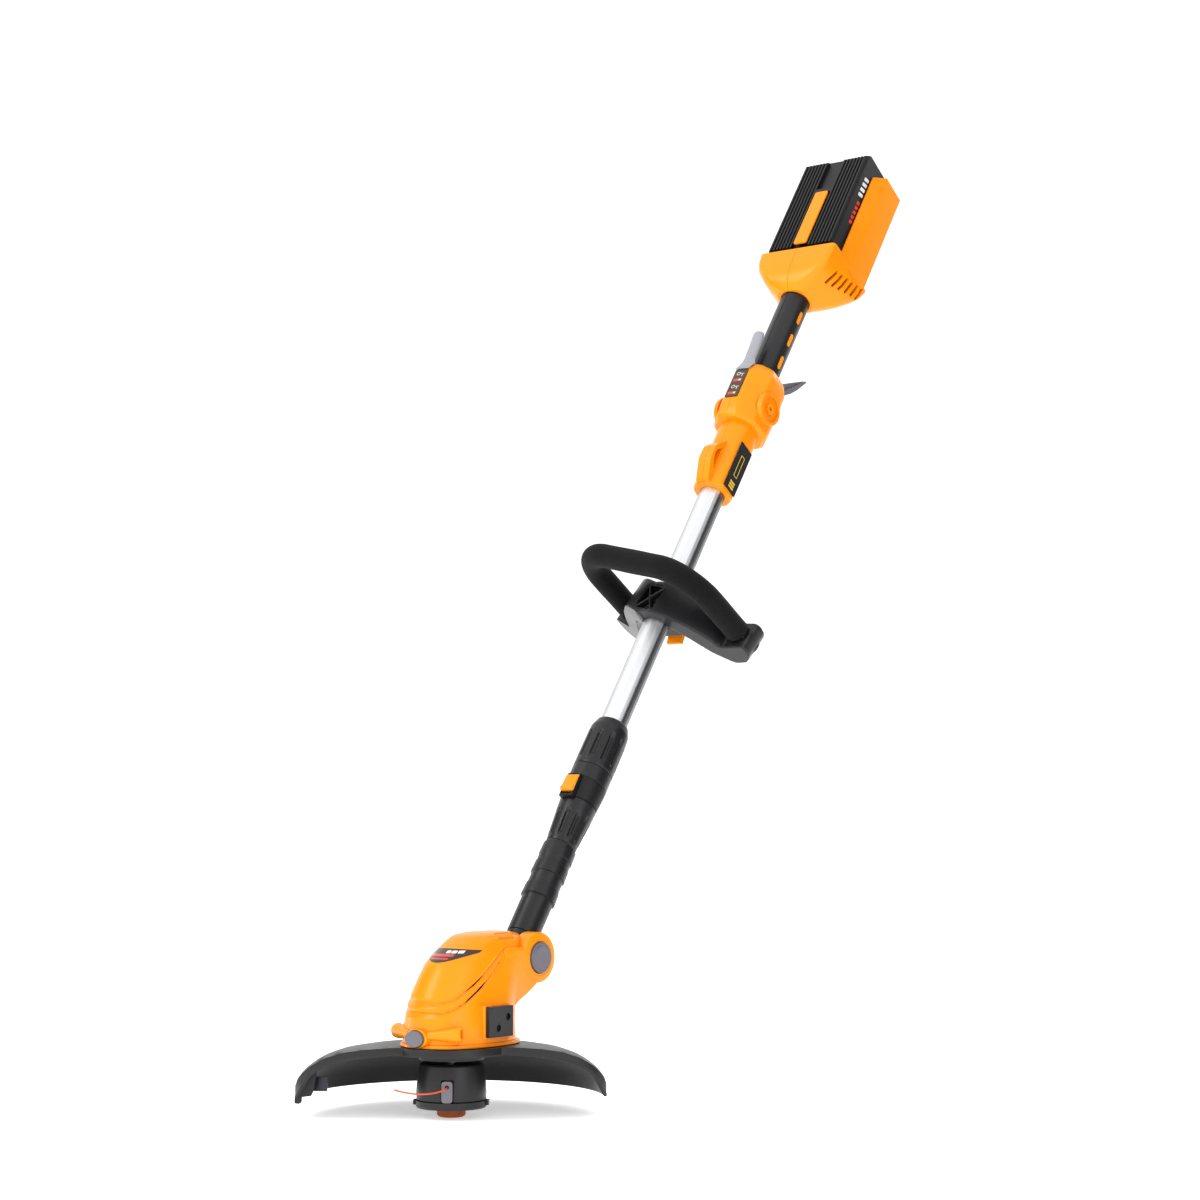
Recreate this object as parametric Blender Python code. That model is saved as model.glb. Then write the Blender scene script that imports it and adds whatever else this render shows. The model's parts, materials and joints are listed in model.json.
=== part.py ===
"""A battery string trimmer, upright on its bump knob with the shaft leaning back.

World frame: metres, +Z up, the origin at the middle of the bump knob's underside, the front towards -Y.
Every drawing number below is in millimetres and MM turns it into metres.
Pieces of the shaft are drawn upright in the frame "shaft", whose z runs up the shaft from the tilt pivot
and whose -y looks up and forward. Pieces of the head are drawn in world millimetres in the frame "head".
"""

import math

import bmesh
import bpy
from mathutils import Matrix, Vector

# ---------------------------------------------------------------- driving dimensions, mm
MM = 0.001
GAP = 0.3  # air left between neighbouring solids
LEAN = math.radians(35.0)  # shaft from the vertical
PIVOT = (0.0, 87.5, 139.4)  # tilt pivot of the head

TUBE_R = 13.6
TUBE_WALL = 1.5
TUBE_Z = (75.0, 640.0)  # the tube's ends along the shaft
BORE_R = TUBE_R + GAP

SLEEVE_Z = (22.3, 122.6)  # stepped lower sleeve
TAPER_Z = (122.9, 170.5)
BAND_Z = (170.8, 194.0)
BASE_Z = (194.3, 210.3)
TWIST_Z = (210.6, 268.0)
COLLAR_R = 20.2

HANDLE_Z = 429.0
HANDLE_YAW = math.radians(14.7)
HANDLE_HALF = 80.0  # centre of an arm from the shaft
HANDLE_TOP = 60.0  # centre of the bar above the shaft
HANDLE_FOOT = -36.0  # lower end of the foam
HANDLE_BEND = 42.0
HANDLE_SKEW = -11.0  # the bar's offset from its feet, across the shaft
FOAM_R = 12.5

BODY_Z = (571.3, 741.0)  # collar and switch housing
STEP_Z = 659.0
GRIP_Z = (741.4, 860.0)
GRIP_R = 16.6
NOSE_Z = (857.0, 911.0)
TRAY_END = 1053.0
BAY_HALF = 43.3
BAY_FLOOR = -30.0
BATTERY_Z = (915.6, 1060.0)
BATTERY_TOP = 31.0

HEAD_BASE = 64.3  # underside of the motor housing
GUARD_R = 141.5
GUARD_LIP_R = 52.0
GUARD_MID = math.radians(-41.0)  # middle of the guard, from +Y towards +X
GUARD_HALF = math.radians(91.0)
EAR_R = 23.5
EAR_X = (16.4, 32.5)

SPOOL_R = 32.0
EYELET_TURN = math.radians(-56.0)  # where the line leaves the spool, from +X
LINE_R = 0.8
LINE_POINTS = [  # the cutting line's route from the eyelet, mm
    (18.0, -26.7, 29.6),
    (20.6, -30.5, 29.3),
    (21.8, -35.0, 28.4),
    (21.2, -40.2, 27.3),
    (18.9, -45.8, 26.4),
    (15.3, -51.5, 25.9),
    (11.0, -57.1, 26.0),
    (6.4, -62.5, 26.8),
    (1.5, -67.8, 28.2),
    (-3.6, -72.8, 30.2),
]


# ---------------------------------------------------------------- scene and materials
for old in list(bpy.data.objects):
    bpy.data.objects.remove(old)


def material(name, colour, roughness, metallic=0.0):
    made = bpy.data.materials.new(name)
    made.use_nodes = True
    shader = made.node_tree.nodes["Principled BSDF"]
    shader.inputs["Base Color"].default_value = (*colour, 1.0)
    shader.inputs["Roughness"].default_value = roughness
    shader.inputs["Metallic"].default_value = metallic
    made.diffuse_color = (*colour, 1.0)
    return made


ORANGE = material("orange_plastic", (0.95, 0.42, 0.03), 0.35)
BLACK = material("black_plastic", (0.045, 0.045, 0.05), 0.45)
DARK = material("dark_plastic", (0.02, 0.02, 0.022), 0.55)
GREY = material("grey_plastic", (0.25, 0.25, 0.28), 0.45)
LEVER_GREY = material("lever_grey_plastic", (0.45, 0.45, 0.5), 0.4)
ALUMINIUM = material("aluminium", (0.86, 0.87, 0.88), 0.3, 1.0)
STEEL = material("steel", (0.6, 0.6, 0.62), 0.3, 1.0)
COPPER = material("copper_winding", (0.7, 0.32, 0.14), 0.4, 1.0)
FOAM = material("foam", (0.02, 0.02, 0.022), 0.95)
KNOB = material("bump_knob_plastic", (0.33, 0.1, 0.015), 0.5)
LINE = material("nylon_line", (0.85, 0.13, 0.05), 0.4)
BOARD = material("circuit_board", (0.02, 0.2, 0.08), 0.5)
LABEL = material("label_film", (0.05, 0.035, 0.035), 0.35)


# ---------------------------------------------------------------- frames
def empty(name, location, rotation=(0.0, 0.0, 0.0), parent=None):
    made = bpy.data.objects.new(name, None)
    made.empty_display_size = 0.05
    made.location = [value * MM for value in location]
    made.rotation_euler = rotation
    made.parent = parent
    bpy.context.scene.collection.objects.link(made)
    return made


TILT_AXIS = empty("tilt_axis", PIVOT)
SHAFT_AXIS = empty("shaft_axis", PIVOT, (-LEAN, 0.0, 0.0))
SPOOL_AXIS = empty("spool_axis", (0.0, 0.0, 0.0))
HANDLE_FRAME = empty("handle_frame", (0.0, 0.0, HANDLE_Z), (0.0, HANDLE_YAW, 0.0), SHAFT_AXIS)
FRAMES = {
    "shaft": (SHAFT_AXIS, Vector((0.0, 0.0, 0.0))),
    "head": (TILT_AXIS, -Vector(PIVOT)),
    "spool": (SPOOL_AXIS, Vector((0.0, 0.0, 0.0))),
    "handle": (HANDLE_FRAME, Vector((0.0, 0.0, 0.0))),
}
TURN = {
    "Z": Matrix.Identity(3),
    "X": Matrix(((0, 0, 1), (1, 0, 0), (0, 1, 0))),
    "Y": Matrix(((0, 1, 0), (0, 0, 1), (1, 0, 0))),
}


# ---------------------------------------------------------------- mesh builders
def finish(name, mesh, paint, frame, at, smooth=32.0):
    made = bpy.data.objects.new(name, mesh)
    made.parent, offset = FRAMES[frame]
    made.location = (Vector(at) + offset) * MM
    mesh.materials.append(paint)
    mesh.shade_smooth()
    mesh.set_sharp_from_angle(angle=math.radians(smooth))
    bpy.context.scene.collection.objects.link(made)
    return made


def from_rings(name, rings, paint, frame="shaft", at=(0, 0, 0), axis="Z", hollow=False):
    """Joins rings of equally many points; a hollow one also joins the last ring to the first."""
    shape = bmesh.new()
    turn = TURN[axis] if isinstance(axis, str) else axis
    loops = [[shape.verts.new(turn @ Vector(point) * MM) for point in ring] for ring in rings]
    pairs = list(zip(loops, loops[1:]))
    if hollow:
        pairs.append((loops[-1], loops[0]))
    else:
        shape.faces.new(loops[0])
        shape.faces.new(loops[-1])
    for low, high in pairs:
        for i in range(len(low)):
            j = (i + 1) % len(low)
            shape.faces.new((low[i], low[j], high[j], high[i]))
    bmesh.ops.recalc_face_normals(shape, faces=shape.faces)
    mesh = bpy.data.meshes.new(name)
    shape.to_mesh(mesh)
    shape.free()
    return finish(name, mesh, paint, frame, at)


def circle(radius, z, count=24, centre=(0.0, 0.0)):
    steps = [math.tau * i / count for i in range(count)]
    return [(centre[0] + radius * math.cos(t), centre[1] + radius * math.sin(t), z) for t in steps]


def turned(name, profile, paint, count=24, **where):
    """A turned piece from (radius, height) points; hollow=True closes the profile round a bore."""
    return from_rings(name, [circle(r, z, count) for r, z in profile], paint, **where)


def tube(name, outer, bore, z_low, z_high, paint, count=24, **where):
    profile = [(outer, z_low), (outer, z_high), (bore, z_high), (bore, z_low)]
    return turned(name, profile, paint, count, hollow=True, **where)


def rounded(points, radius, steps=3):
    """A closed outline with each corner replaced by a short curve of steps + 1 points."""
    made = []
    for i, corner in enumerate(points):
        corner = Vector(corner)
        before = Vector(points[i - 1]) - corner
        after = Vector(points[(i + 1) % len(points)]) - corner
        start = corner + before.normalized() * min(radius, before.length * 0.48)
        end = corner + after.normalized() * min(radius, after.length * 0.48)
        for k in range(steps + 1):
            t = k / steps
            point = start * (1 - t) ** 2 + corner * 2 * t * (1 - t) + end * t**2
            made.append((point.x, point.y))
    return made


def at_height(outline, z):
    return [(x, y, z) for x, y in outline]


def prism(name, outline, z_low, z_high, paint, **where):
    return from_rings(name, [at_height(outline, z_low), at_height(outline, z_high)], paint, **where)


def rectangle(x_low, x_high, y_low, y_high):
    return [(x_low, y_low), (x_high, y_low), (x_high, y_high), (x_low, y_high)]


def block(name, x, y, z, paint, radius=0.0, **where):
    """A box from pairs of limits, its upright edges rounded when a radius is given."""
    outline = rectangle(*x, *y)
    if radius:
        outline = rounded(outline, radius)
    return prism(name, outline, z[0], z[1], paint, **where)


def swept(name, path, radius, paint, count=16, **where):
    """A round bar along a path that lies in one plane y = constant of its frame, or nearly so."""
    rings = []
    for i, point in enumerate(path):
        ahead = Vector(path[min(i + 1, len(path) - 1)])
        behind = Vector(path[max(i - 1, 0)])
        along = (ahead - behind).normalized()
        side = along.cross(Vector((0, 0, 1)))
        side = side.normalized() if side.length > 1e-4 else Vector((1, 0, 0))
        up = side.cross(along)
        steps = [math.tau * k / count for k in range(count)]
        rings.append([Vector(point) + radius * (side * math.cos(t) + up * math.sin(t)) for t in steps])
    return from_rings(name, rings, paint, **where)


# ---------------------------------------------------------------- Boolean helpers
def combine(target, other, operation):
    other.hide_render = True
    other.display_type = "WIRE"
    step = target.modifiers.new(f"{operation.lower()}_{other.name}", "BOOLEAN")
    step.operation = operation
    step.solver = "EXACT"
    step.object = other
    return target


def cut(target, *others):
    for other in others:
        combine(target, other, "DIFFERENCE")
    return target


def add(target, *others):
    for other in others:
        combine(target, other, "UNION")
    return target


def keep_side(target, side, frame, size=1300.0):
    """Keeps the half of a shell on one side of the plane x = 0, less half the seam's gap."""
    limits = (GAP / 2, size) if side > 0 else (-size, -GAP / 2)
    half = block(f"{target.name}_side", limits, (-size, size), (-size, size), DARK, frame=frame)
    return combine(target, half, "INTERSECT")


SIDES = (("left", 1), ("right", -1))  # as the user holds it, so left is +X


# ---------------------------------------------------------------- motor housing
def egg(half, front, back, z, power=2.5, count=28):
    """A rounded section with its long axis along y."""
    middle, reach = (front + back) / 2, (back - front) / 2
    ring = []
    for i in range(count):
        c, s = math.cos(math.tau * i / count), math.sin(math.tau * i / count)
        x = half * math.copysign(abs(c) ** (2 / power), c)
        y = middle + reach * math.copysign(abs(s) ** (2 / power), s)
        ring.append((x, y, z))
    return ring


HOUSING_SECTIONS = [  # half width, front y, back y, height, squareness
    (45.0, -49.0, 73.0, HEAD_BASE, 2.5),
    (45.0, -49.0, 73.0, 68.3, 2.5),
    (42.5, -45.5, 66.0, 70.0, 2.5),
    (42.0, -45.0, 66.0, 85.0, 2.4),
    (40.0, -43.0, 70.0, 100.0, 2.3),
    (37.5, -38.5, 79.0, 113.0, 2.2),
    (34.5, -31.0, 85.0, 127.0, 2.2),
    (32.3, -22.0, 86.0, 139.0, 2.2),
    (28.5, -7.0, 86.0, 150.0, 2.3),
    (26.0, 4.0, 84.0, 157.0, 2.4),
    (23.0, 13.0, 82.0, 161.5, 2.4),
    (16.0, 26.0, 76.0, 164.0, 2.4),
]
CAVITY_SECTIONS = [
    (39.0, -42.0, 58.0, 67.5, 2.4),
    (38.5, -41.5, 58.0, 85.0, 2.4),
    (36.5, -39.5, 58.0, 100.0, 2.3),
    (34.0, -35.0, 58.0, 113.0, 2.2),
    (31.0, -27.5, 58.0, 127.0, 2.2),
    (28.5, -18.0, 58.0, 139.0, 2.2),
    (23.5, -1.0, 56.0, 150.0, 2.2),
    (18.0, 12.0, 50.0, 156.5, 2.2),
]
BUTTON_Z = 73.0


def oval(half_x, half_z, count=16):
    """An upright oval round the front button, as (z, x) pairs for a piece turned on to Y."""
    steps = [math.tau * i / count for i in range(count)]
    return [(BUTTON_Z + half_z * math.cos(t), half_x * math.sin(t)) for t in steps]


def aim(direction):
    """The matrix that turns +Z on to a direction."""
    return Vector((0, 0, 1)).rotation_difference(Vector(direction)).to_matrix()


def motor_housing(name, side):
    shell = from_rings(f"motor_housing_{name}", [egg(*s) for s in HOUSING_SECTIONS], ORANGE, "head")
    x_low, x_high = sorted((side * EAR_X[0], side * EAR_X[1]))
    place = {"frame": "head"}
    tag = f"cutter_{name}"
    ear = turned(f"{tag}_ear", [(EAR_R, x_low), (EAR_R, x_high)], ORANGE, 28, at=PIVOT, axis="X", **place)
    collar = prism(f"{tag}_collar", oval(13.0, 8.6), -49.5, -38.0, ORANGE, axis="Y", **place)
    direction = (side * 28.0, 15.0, 1.5)
    socket_profile = [(3.5, 0.0), (6.8, 26.0), (6.8, 31.0)]
    socket_at = (side * 11.0, -45.0, 76.0)
    socket = turned(
        f"{tag}_socket", socket_profile, ORANGE, 14, at=socket_at, axis=aim(direction), **place
    )
    add(shell, ear, collar, socket)
    if side > 0:
        add(shell, block(f"{tag}_pad", (32.0, 42.9), (-4.5, 31.5), (71.5, 101.5), ORANGE, 2.0, **place))

    web_points = [(38.0, 84.0), (57.0, 100.0), (72.0, 108.5), (84.0, 117.5), (84.0, 150.0), (38.0, 150.0)]
    web = prism(f"{tag}_web", web_points, x_low + 0.5, x_high - 0.5, ORANGE, axis="X", **place)
    add(shell, web)
    cavity = from_rings(f"{tag}_cavity", [egg(*s) for s in CAVITY_SECTIONS], DARK, "head")
    slot = block(f"{tag}_slot", (-16.2, 16.2), (66.0, 125.0), (118.0, 190.0), DARK, **place)
    pin = turned(f"{tag}_pin", [(4.3, -25.0), (4.3, 25.0)], DARK, 12, at=PIVOT, axis="X", **place)
    well = [(15.0, min(side * 24.0, side * 40.0)), (15.0, max(side * 24.0, side * 40.0))]
    recess = turned(f"{tag}_recess", well, DARK, 24, at=PIVOT, axis="X", **place)
    window = prism(f"{tag}_window", oval(10.9, 7.9), -60.0, -36.0, DARK, axis="Y", **place)
    spindle_hole = turned(f"{tag}_spindle", [(5.0, 55.0), (5.0, 80.0)], DARK, 12, **place)
    mouth = turned(
        f"{tag}_mouth", [(4.6, 17.0), (4.6, 40.0)], DARK, 12, at=socket_at, axis=aim(direction), **place
    )
    cut(shell, cavity, slot, pin, recess, window, spindle_hole, mouth)
    return keep_side(shell, side, "head")


def head_pieces():
    for name, side in SIDES:
        motor_housing(name, side)
    tube("motor_can", 22.5, 20.0, 71.0, 127.0, STEEL, 24, frame="head")
    tube("upper_bearing", 8.0, 3.3, 127.3, 132.0, STEEL, 14, frame="head")
    tube("lower_bearing", 8.0, 3.3, 71.0, 76.0, STEEL, 14, frame="head")
    block("lock_block", (43.2, 47.6), (-3.2, 30.3), (73.0, 100.2), BLACK, 0.8, frame="head")
    holes = ((22.8, 90.5, "upper"), (9.6, 81.0, "lower"))
    for y, z, name in holes:
        well = [(3.2, 44.5), (3.2, 50.0)]
        hole = turned(f"cutter_{name}_well", well, DARK, 12, frame="head", at=(0, y, z), axis="X")
        cut(bpy.data.objects["lock_block"], hole)
        screw = turned(
            f"lock_screw_{name}", [(2.7, 44.8), (2.7, 46.0)], STEEL, 12, frame="head", at=(0, y, z), axis="X"
        )
        cross = block(f"cutter_{name}_cross", (45.4, 47.0), (y - 1.7, y + 1.7), (z - 0.4, z + 0.4), DARK, frame="head")
        cut(screw, cross)
    prism("front_button", oval(10.5, 7.5), -52.5, -44.5, GREY, frame="head", axis="Y")
    turned(
        "tilt_button", [(14.3, 28.4), (14.3, 34.6), (13.4, 35.5)], GREY, 24, frame="head", at=PIVOT, axis="X"
    )


# ---------------------------------------------------------------- guard
GUARD_PROFILE = [  # radius and height of the guard's upper face
    (12.0, 63.9),
    (62.0, 63.9),
    (85.0, 62.3),
    (103.0, 59.3),
    (118.0, 53.6),
    (129.0, 46.0),
    (135.0, 40.0),
    (139.5, 33.5),
    (GUARD_R, 26.0),
]
GUARD_STEPS = (0.0, 0.4, 0.62, 0.75, 0.85, 0.92, 0.965, 1.0)


def guard_height(radius):
    for (r0, z0), (r1, z1) in zip(GUARD_PROFILE, GUARD_PROFILE[1:]):
        if radius <= r1:
            return z0 + (z1 - z0) * (radius - r0) / (r1 - r0)
    return GUARD_PROFILE[-1][1]


def guard_edge(turn):
    """Outer radius and lower edge of the guard at an angle from its middle."""
    past = (abs(turn) - GUARD_HALF) / math.radians(32.0)
    if past <= 0:
        return GUARD_R, 17.0
    share = min(1.0, past)
    radius = GUARD_R + (GUARD_LIP_R - GUARD_R) * (share * share * (3 - 2 * share)) ** 0.8
    skirt = 17.0 + (guard_height(radius) - 7.0 - 17.0) * min(1.0, past * 6)
    return radius, skirt


def guard():
    columns = []
    turn = -180.0
    while turn < 179.9:
        columns.append(math.radians(turn))
        edge = abs(abs(turn) - math.degrees(GUARD_HALF) - 14)
        turn += 4.5 if edge < 18 else 9.0
    shape = bmesh.new()
    rows = []
    for turn in columns:
        radius, low = guard_edge(turn)
        angle = GUARD_MID + turn
        out = Vector((math.sin(angle), math.cos(angle), 0.0))
        row = []
        for share in GUARD_STEPS:
            reach = 12.0 + (radius - 12.0) * share
            row.append(out * reach + Vector((0, 0, guard_height(reach))))
        row.append(out * (radius + 0.4) + Vector((0, 0, low)))
        rows.append([shape.verts.new(point * MM) for point in row])
    for row, following in zip(rows, rows[1:] + rows[:1]):
        for i in range(len(row) - 1):
            shape.faces.new((row[i], row[i + 1], following[i + 1], following[i]))
    bmesh.ops.recalc_face_normals(shape, faces=shape.faces)
    mesh = bpy.data.meshes.new("guard")
    shape.to_mesh(mesh)
    shape.free()
    made = finish("guard", mesh, BLACK, "head", (0, 0, 0))
    if mesh.polygons[0].normal.z < 0:
        mesh.flip_normals()
    shell = made.modifiers.new("thickness", "SOLIDIFY")
    shell.thickness = 2.6 * MM
    shell.offset = -1.0
    return made


def line_cutter():
    """A short blade that stands inside the guard's leading end and trims the line to length."""
    angle = GUARD_MID - GUARD_HALF + math.radians(7.0)
    out = Vector((math.sin(angle), math.cos(angle), 0.0))
    across = Vector((out.y, -out.x, 0.0))
    turn = Matrix((out, across, Vector((0, 0, 1)))).transposed()
    outline = [(113.0, -0.8), (132.5, -0.8), (132.5, 0.8), (113.0, 0.8)]
    return prism("line_cutter", outline, 22.0, 35.0, STEEL, frame="head", axis=turn)


# ---------------------------------------------------------------- spool
def spool_pieces():
    place = {"frame": "spool"}
    cup = [
        (4.6, 45.5),
        (26.5, 45.5),
        (29.2, 24.0),
        (29.2, 15.6),
        (31.6, 15.6),
        (SPOOL_R, 23.0),
        (31.0, 34.0),
        (29.0, 47.0),
        (27.5, 48.5),
        (4.6, 48.5),
    ]
    housing = turned("spool_housing", cup, BLACK, 28, hollow=True, **place)
    radial = Matrix.Rotation(EYELET_TURN, 3, "Z")
    # Local z of the port runs outward, local x up.
    port_turn = radial @ Matrix(((0, 0, 1), (0, 1, 0), (-1, 0, 0)))
    port = prism(
        "cutter_port", rectangle(-35.2, -15.0, -5.3, 5.3), 24.0, 40.0, DARK, axis=port_turn, **place
    )
    cut(housing, port)
    flange = [(13.8, 8.6), (31.0, 8.6), (32.4, 10.5), (32.4, 15.2), (13.8, 15.2)]
    cover = turned("spool_cover", flange, BLACK, 28, hollow=True, **place)
    for name, angle in (("a", 0.6), ("b", 0.6 + math.pi)):
        turn = Matrix.Rotation(angle, 3, "Z")
        tab = prism(f"cutter_tab_{name}", rectangle(30.0, 34.2, -5.0, 5.0), 11.0, 15.2, BLACK, axis=turn, **place)
        add(cover, tab)
    tab_outline = rounded([(-34.8, -5.0), (-34.8, 5.0), (-15.6, 5.0), (-15.6, -5.0)], 3.0)
    eyelet = prism("line_eyelet", tab_outline, 29.9, 33.2, GREY, axis=port_turn, **place)
    hole = [(1.7, 25.0), (1.7, 40.0)]
    bore = turned("cutter_eye", hole, DARK, 12, at=(0, 0, 29.6), axis=radial @ TURN["X"], **place)
    cut(eyelet, bore)
    reel = [
        (5.0, 20.0),
        (26.0, 20.0),
        (26.0, 22.0),
        (13.0, 22.0),
        (13.0, 35.0),
        (24.5, 35.0),
        (24.5, 37.0),
        (5.0, 37.0),
    ]
    turned("line_reel", reel, DARK, 20, hollow=True, **place)
    tube("wound_line", 22.5, 13.4, 22.4, 34.6, LINE, 20, **place)
    knob = [(11.0, 0.0), (13.0, 1.6), (13.4, 11.0), (8.4, 11.2), (8.4, 15.6)]
    turned("bump_knob", knob, KNOB, 28, **place)
    spring_path = []
    for i in range(4 * 9 + 1):
        t = math.tau * i / 9
        spring_path.append((8.6 * math.cos(t), 8.6 * math.sin(t), 38.4 + 5.8 * i / 36))
    swept("bump_spring", spring_path, 0.55, STEEL, 5, **place)
    turned("spindle", [(3.0, 21.0), (3.0, 44.0), (4.3, 44.0), (4.3, 49.5), (3.0, 49.5), (3.0, 131.0)], STEEL, 12, **place)
    tube("motor_rotor", 18.5, 3.3, 80.0, 118.0, COPPER, 16, **place)


def smooth_route(points, per_span):
    """Points on a smooth curve through the given ones."""
    made = []
    ends = [points[0]] + list(points) + [points[-1]]
    for a, b, c, d in zip(ends, ends[1:], ends[2:], ends[3:]):
        a, b, c, d = (Vector(p) for p in (a, b, c, d))
        for k in range(per_span):
            t = k / per_span
            made.append(
                0.5 * (2 * b + (c - a) * t + (2 * a - 5 * b + 4 * c - d) * t**2 + (3 * b - a - 3 * c + d) * t**3)
            )
    made.append(Vector(points[-1]))
    return made


def cutting_line():
    curve = bpy.data.curves.new("cutting_line", "CURVE")
    curve.dimensions = "3D"
    curve.bevel_depth = LINE_R * MM
    curve.bevel_resolution = 2
    curve.use_fill_caps = True
    curve.materials.append(LINE)
    route = smooth_route(LINE_POINTS, 2)
    spline = curve.splines.new("POLY")
    spline.points.add(len(route) - 1)
    for point, place in zip(spline.points, route):
        point.co = (*(place * MM), 1.0)
    made = bpy.data.objects.new("cutting_line", curve)
    made.parent = SPOOL_AXIS
    bpy.context.scene.collection.objects.link(made)
    return made


# ---------------------------------------------------------------- lower pole and telescopic collars
def fluted(name, profile, bore, flutes, depth, z_span, paint):
    """A turned sleeve with long rounded grooves between two heights; bore runs from its top to its bottom."""
    count = flutes * 4
    rings = []
    for radius, z in profile:
        inside = z_span[0] < z < z_span[1]
        ring = []
        for i in range(count):
            angle = math.tau * i / count
            groove = max(0.0, math.cos(angle * flutes)) ** 2 if inside else 0.0
            reach = radius - depth * groove
            ring.append((reach * math.cos(angle), reach * math.sin(angle), z))
        rings.append(ring)
    rings += [circle(radius, z, count) for radius, z in bore]
    return from_rings(name, rings, paint, hollow=True)


def pole_pieces():
    hub = turned("knuckle_hub", [(20.0, -15.9), (20.0, 15.9)], BLACK, 28, axis="X")
    stub = turned("cutter_stub", [(15.2, 0.0), (15.2, 22.0)], BLACK, 24)
    eye = turned("cutter_hub_eye", [(4.3, -20.0), (4.3, 20.0)], DARK, 12, axis="X")
    wire_way = turned("cutter_wire_way", [(9.0, 8.0), (9.0, 30.0)], DARK, 12)
    cut(add(hub, stub), eye, wire_way)
    turned("pivot_pin", [(4.0, -23.7), (4.0, 23.7)], STEEL, 12, frame="head", at=PIVOT, axis="X")
    low, high = SLEEVE_Z
    sleeve = [
        (15.5, low),
        (15.5, 62.2),
        (17.3, 62.4),
        (16.8, 75.0),
        (15.9, 75.3),
        (15.9, 87.8),
        (17.2, 88.0),
        (16.9, 99.8),
        (16.3, 100.0),
        (16.2, 107.4),
        (16.9, 107.6),
        (16.7, 120.4),
        (15.6, high),
        (BORE_R, high),
        (BORE_R, low),
    ]
    turned("lower_sleeve", sleeve, BLACK, 24, hollow=True)
    taper = [
        (15.3, TAPER_Z[0]),
        (15.6, 127.5),
        (16.0, 131.5),
        (17.7, 154.5),
        (18.1, 158.5),
        (18.8, TAPER_Z[1]),
    ]
    taper_bore = [(BORE_R, TAPER_Z[1]), (BORE_R, TAPER_Z[0])]
    fluted("taper_collar", taper, taper_bore, 10, 1.1, (129.0, 157.0), BLACK)
    band = [(18.8, BAND_Z[0]), (COLLAR_R, 189.0), (COLLAR_R, BAND_Z[1]), (BORE_R, BAND_Z[1]), (BORE_R, BAND_Z[0])]
    housing = turned("rotation_housing", band, DARK, 28, hollow=True)
    frame = block("cutter_slider_frame", (-8.0, 8.0), (-23.4, -17.0), (168.0, 193.8), DARK, 1.5)
    pocket = block("cutter_slider_pocket", (-6.3, 6.3), (-30.0, -20.6), (170.4, 193.0), DARK)
    cut(add(housing, frame), pocket)
    # The frame hangs a little over the taper collar, so it is trimmed clear of the collar's radius.
    relief = turned("cutter_relief", [(19.3, 160.0), (19.3, 170.78)], DARK, 28)
    cut(housing, relief)
    base = [(COLLAR_R, BASE_Z[0]), (COLLAR_R, BASE_Z[1]), (17.0, BASE_Z[1]), (17.0, 204.0), (BORE_R, 204.0), (BORE_R, BASE_Z[0])]
    turned("collar_base", base, BLACK, 24, hollow=True)
    twist = [
        (COLLAR_R, TWIST_Z[0]),
        (COLLAR_R, 216.5),
        (COLLAR_R, 220.5),
        (20.0, 247.5),
        (20.0, 251.5),
        (19.4, 259.0),
        (16.2, TWIST_Z[1]),
    ]
    twist_bore = [(BORE_R, TWIST_Z[1]), (BORE_R, 264.5), (16.9, 263.0), (16.9, TWIST_Z[0])]
    fluted("twist_collar", twist, twist_bore, 10, 1.2, (218.0, 250.0), BLACK)
    collet = tube("clamp_collet", 16.5, BORE_R, 204.4, 262.6, DARK, 20)
    for name, turn in (("a", 0.0), ("b", math.pi / 2)):
        slit = block(f"cutter_slit_{name}", (-30.0, 30.0), (-0.8, 0.8), (222.0, 270.0), DARK, axis=Matrix.Rotation(turn, 3, "Z"))
        cut(collet, slit)
    slider_outline = [(-20.9, 170.8), (-25.6, 170.8), (-27.2, 173.4), (-24.6, 176.2), (-24.6, 186.8), (-23.4, 188.0), (-20.9, 188.0)]
    prism("rotation_slider", slider_outline, -5.9, 5.9, ORANGE, axis="X")
    wall_low = TUBE_R - TUBE_WALL
    tube("pole_tube", TUBE_R, wall_low, TUBE_Z[0], TUBE_Z[1], ALUMINIUM, 32)
    turned("cable_loom", [(3.5, 80.0), (3.5, 652.0)], DARK, 8)


# ---------------------------------------------------------------- loop handle
def loop_path(foot, steps=6):
    """The handle bar's centre line in the handle's frame, from one foot over the top to the other."""
    half, top, bend = HANDLE_HALF, HANDLE_TOP, HANDLE_BEND
    heights = [foot, HANDLE_FOOT] if foot < HANDLE_FOOT else [foot]
    heights.append((HANDLE_FOOT + top - bend) / 2)
    points = [(-half, -height, 0.0) for height in heights]
    for i in range(steps + 1):
        t = math.pi / 2 * i / steps
        points.append((-half + bend - bend * math.cos(t), -(top - bend + bend * math.sin(t)), 0.0))
    points += [(-x, y, z) for x, y, z in reversed(points)]
    return [(x + HANDLE_SKEW * max(0.0, -y - HANDLE_FOOT) / (top - HANDLE_FOOT), y, z) for x, y, z in points]


def bracket_wing(name, outline, side):
    """One half of the bracket, whose band narrows and moves up the shaft from its middle to the arm's socket."""
    low = [(side * x, y, -36.5 + 0.24 * x) for x, y in outline]
    high = [(side * x, y, 3.0 + 0.15 * x) for x, y in outline]
    return from_rings(name, [low, high], BLACK, frame="handle")


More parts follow.
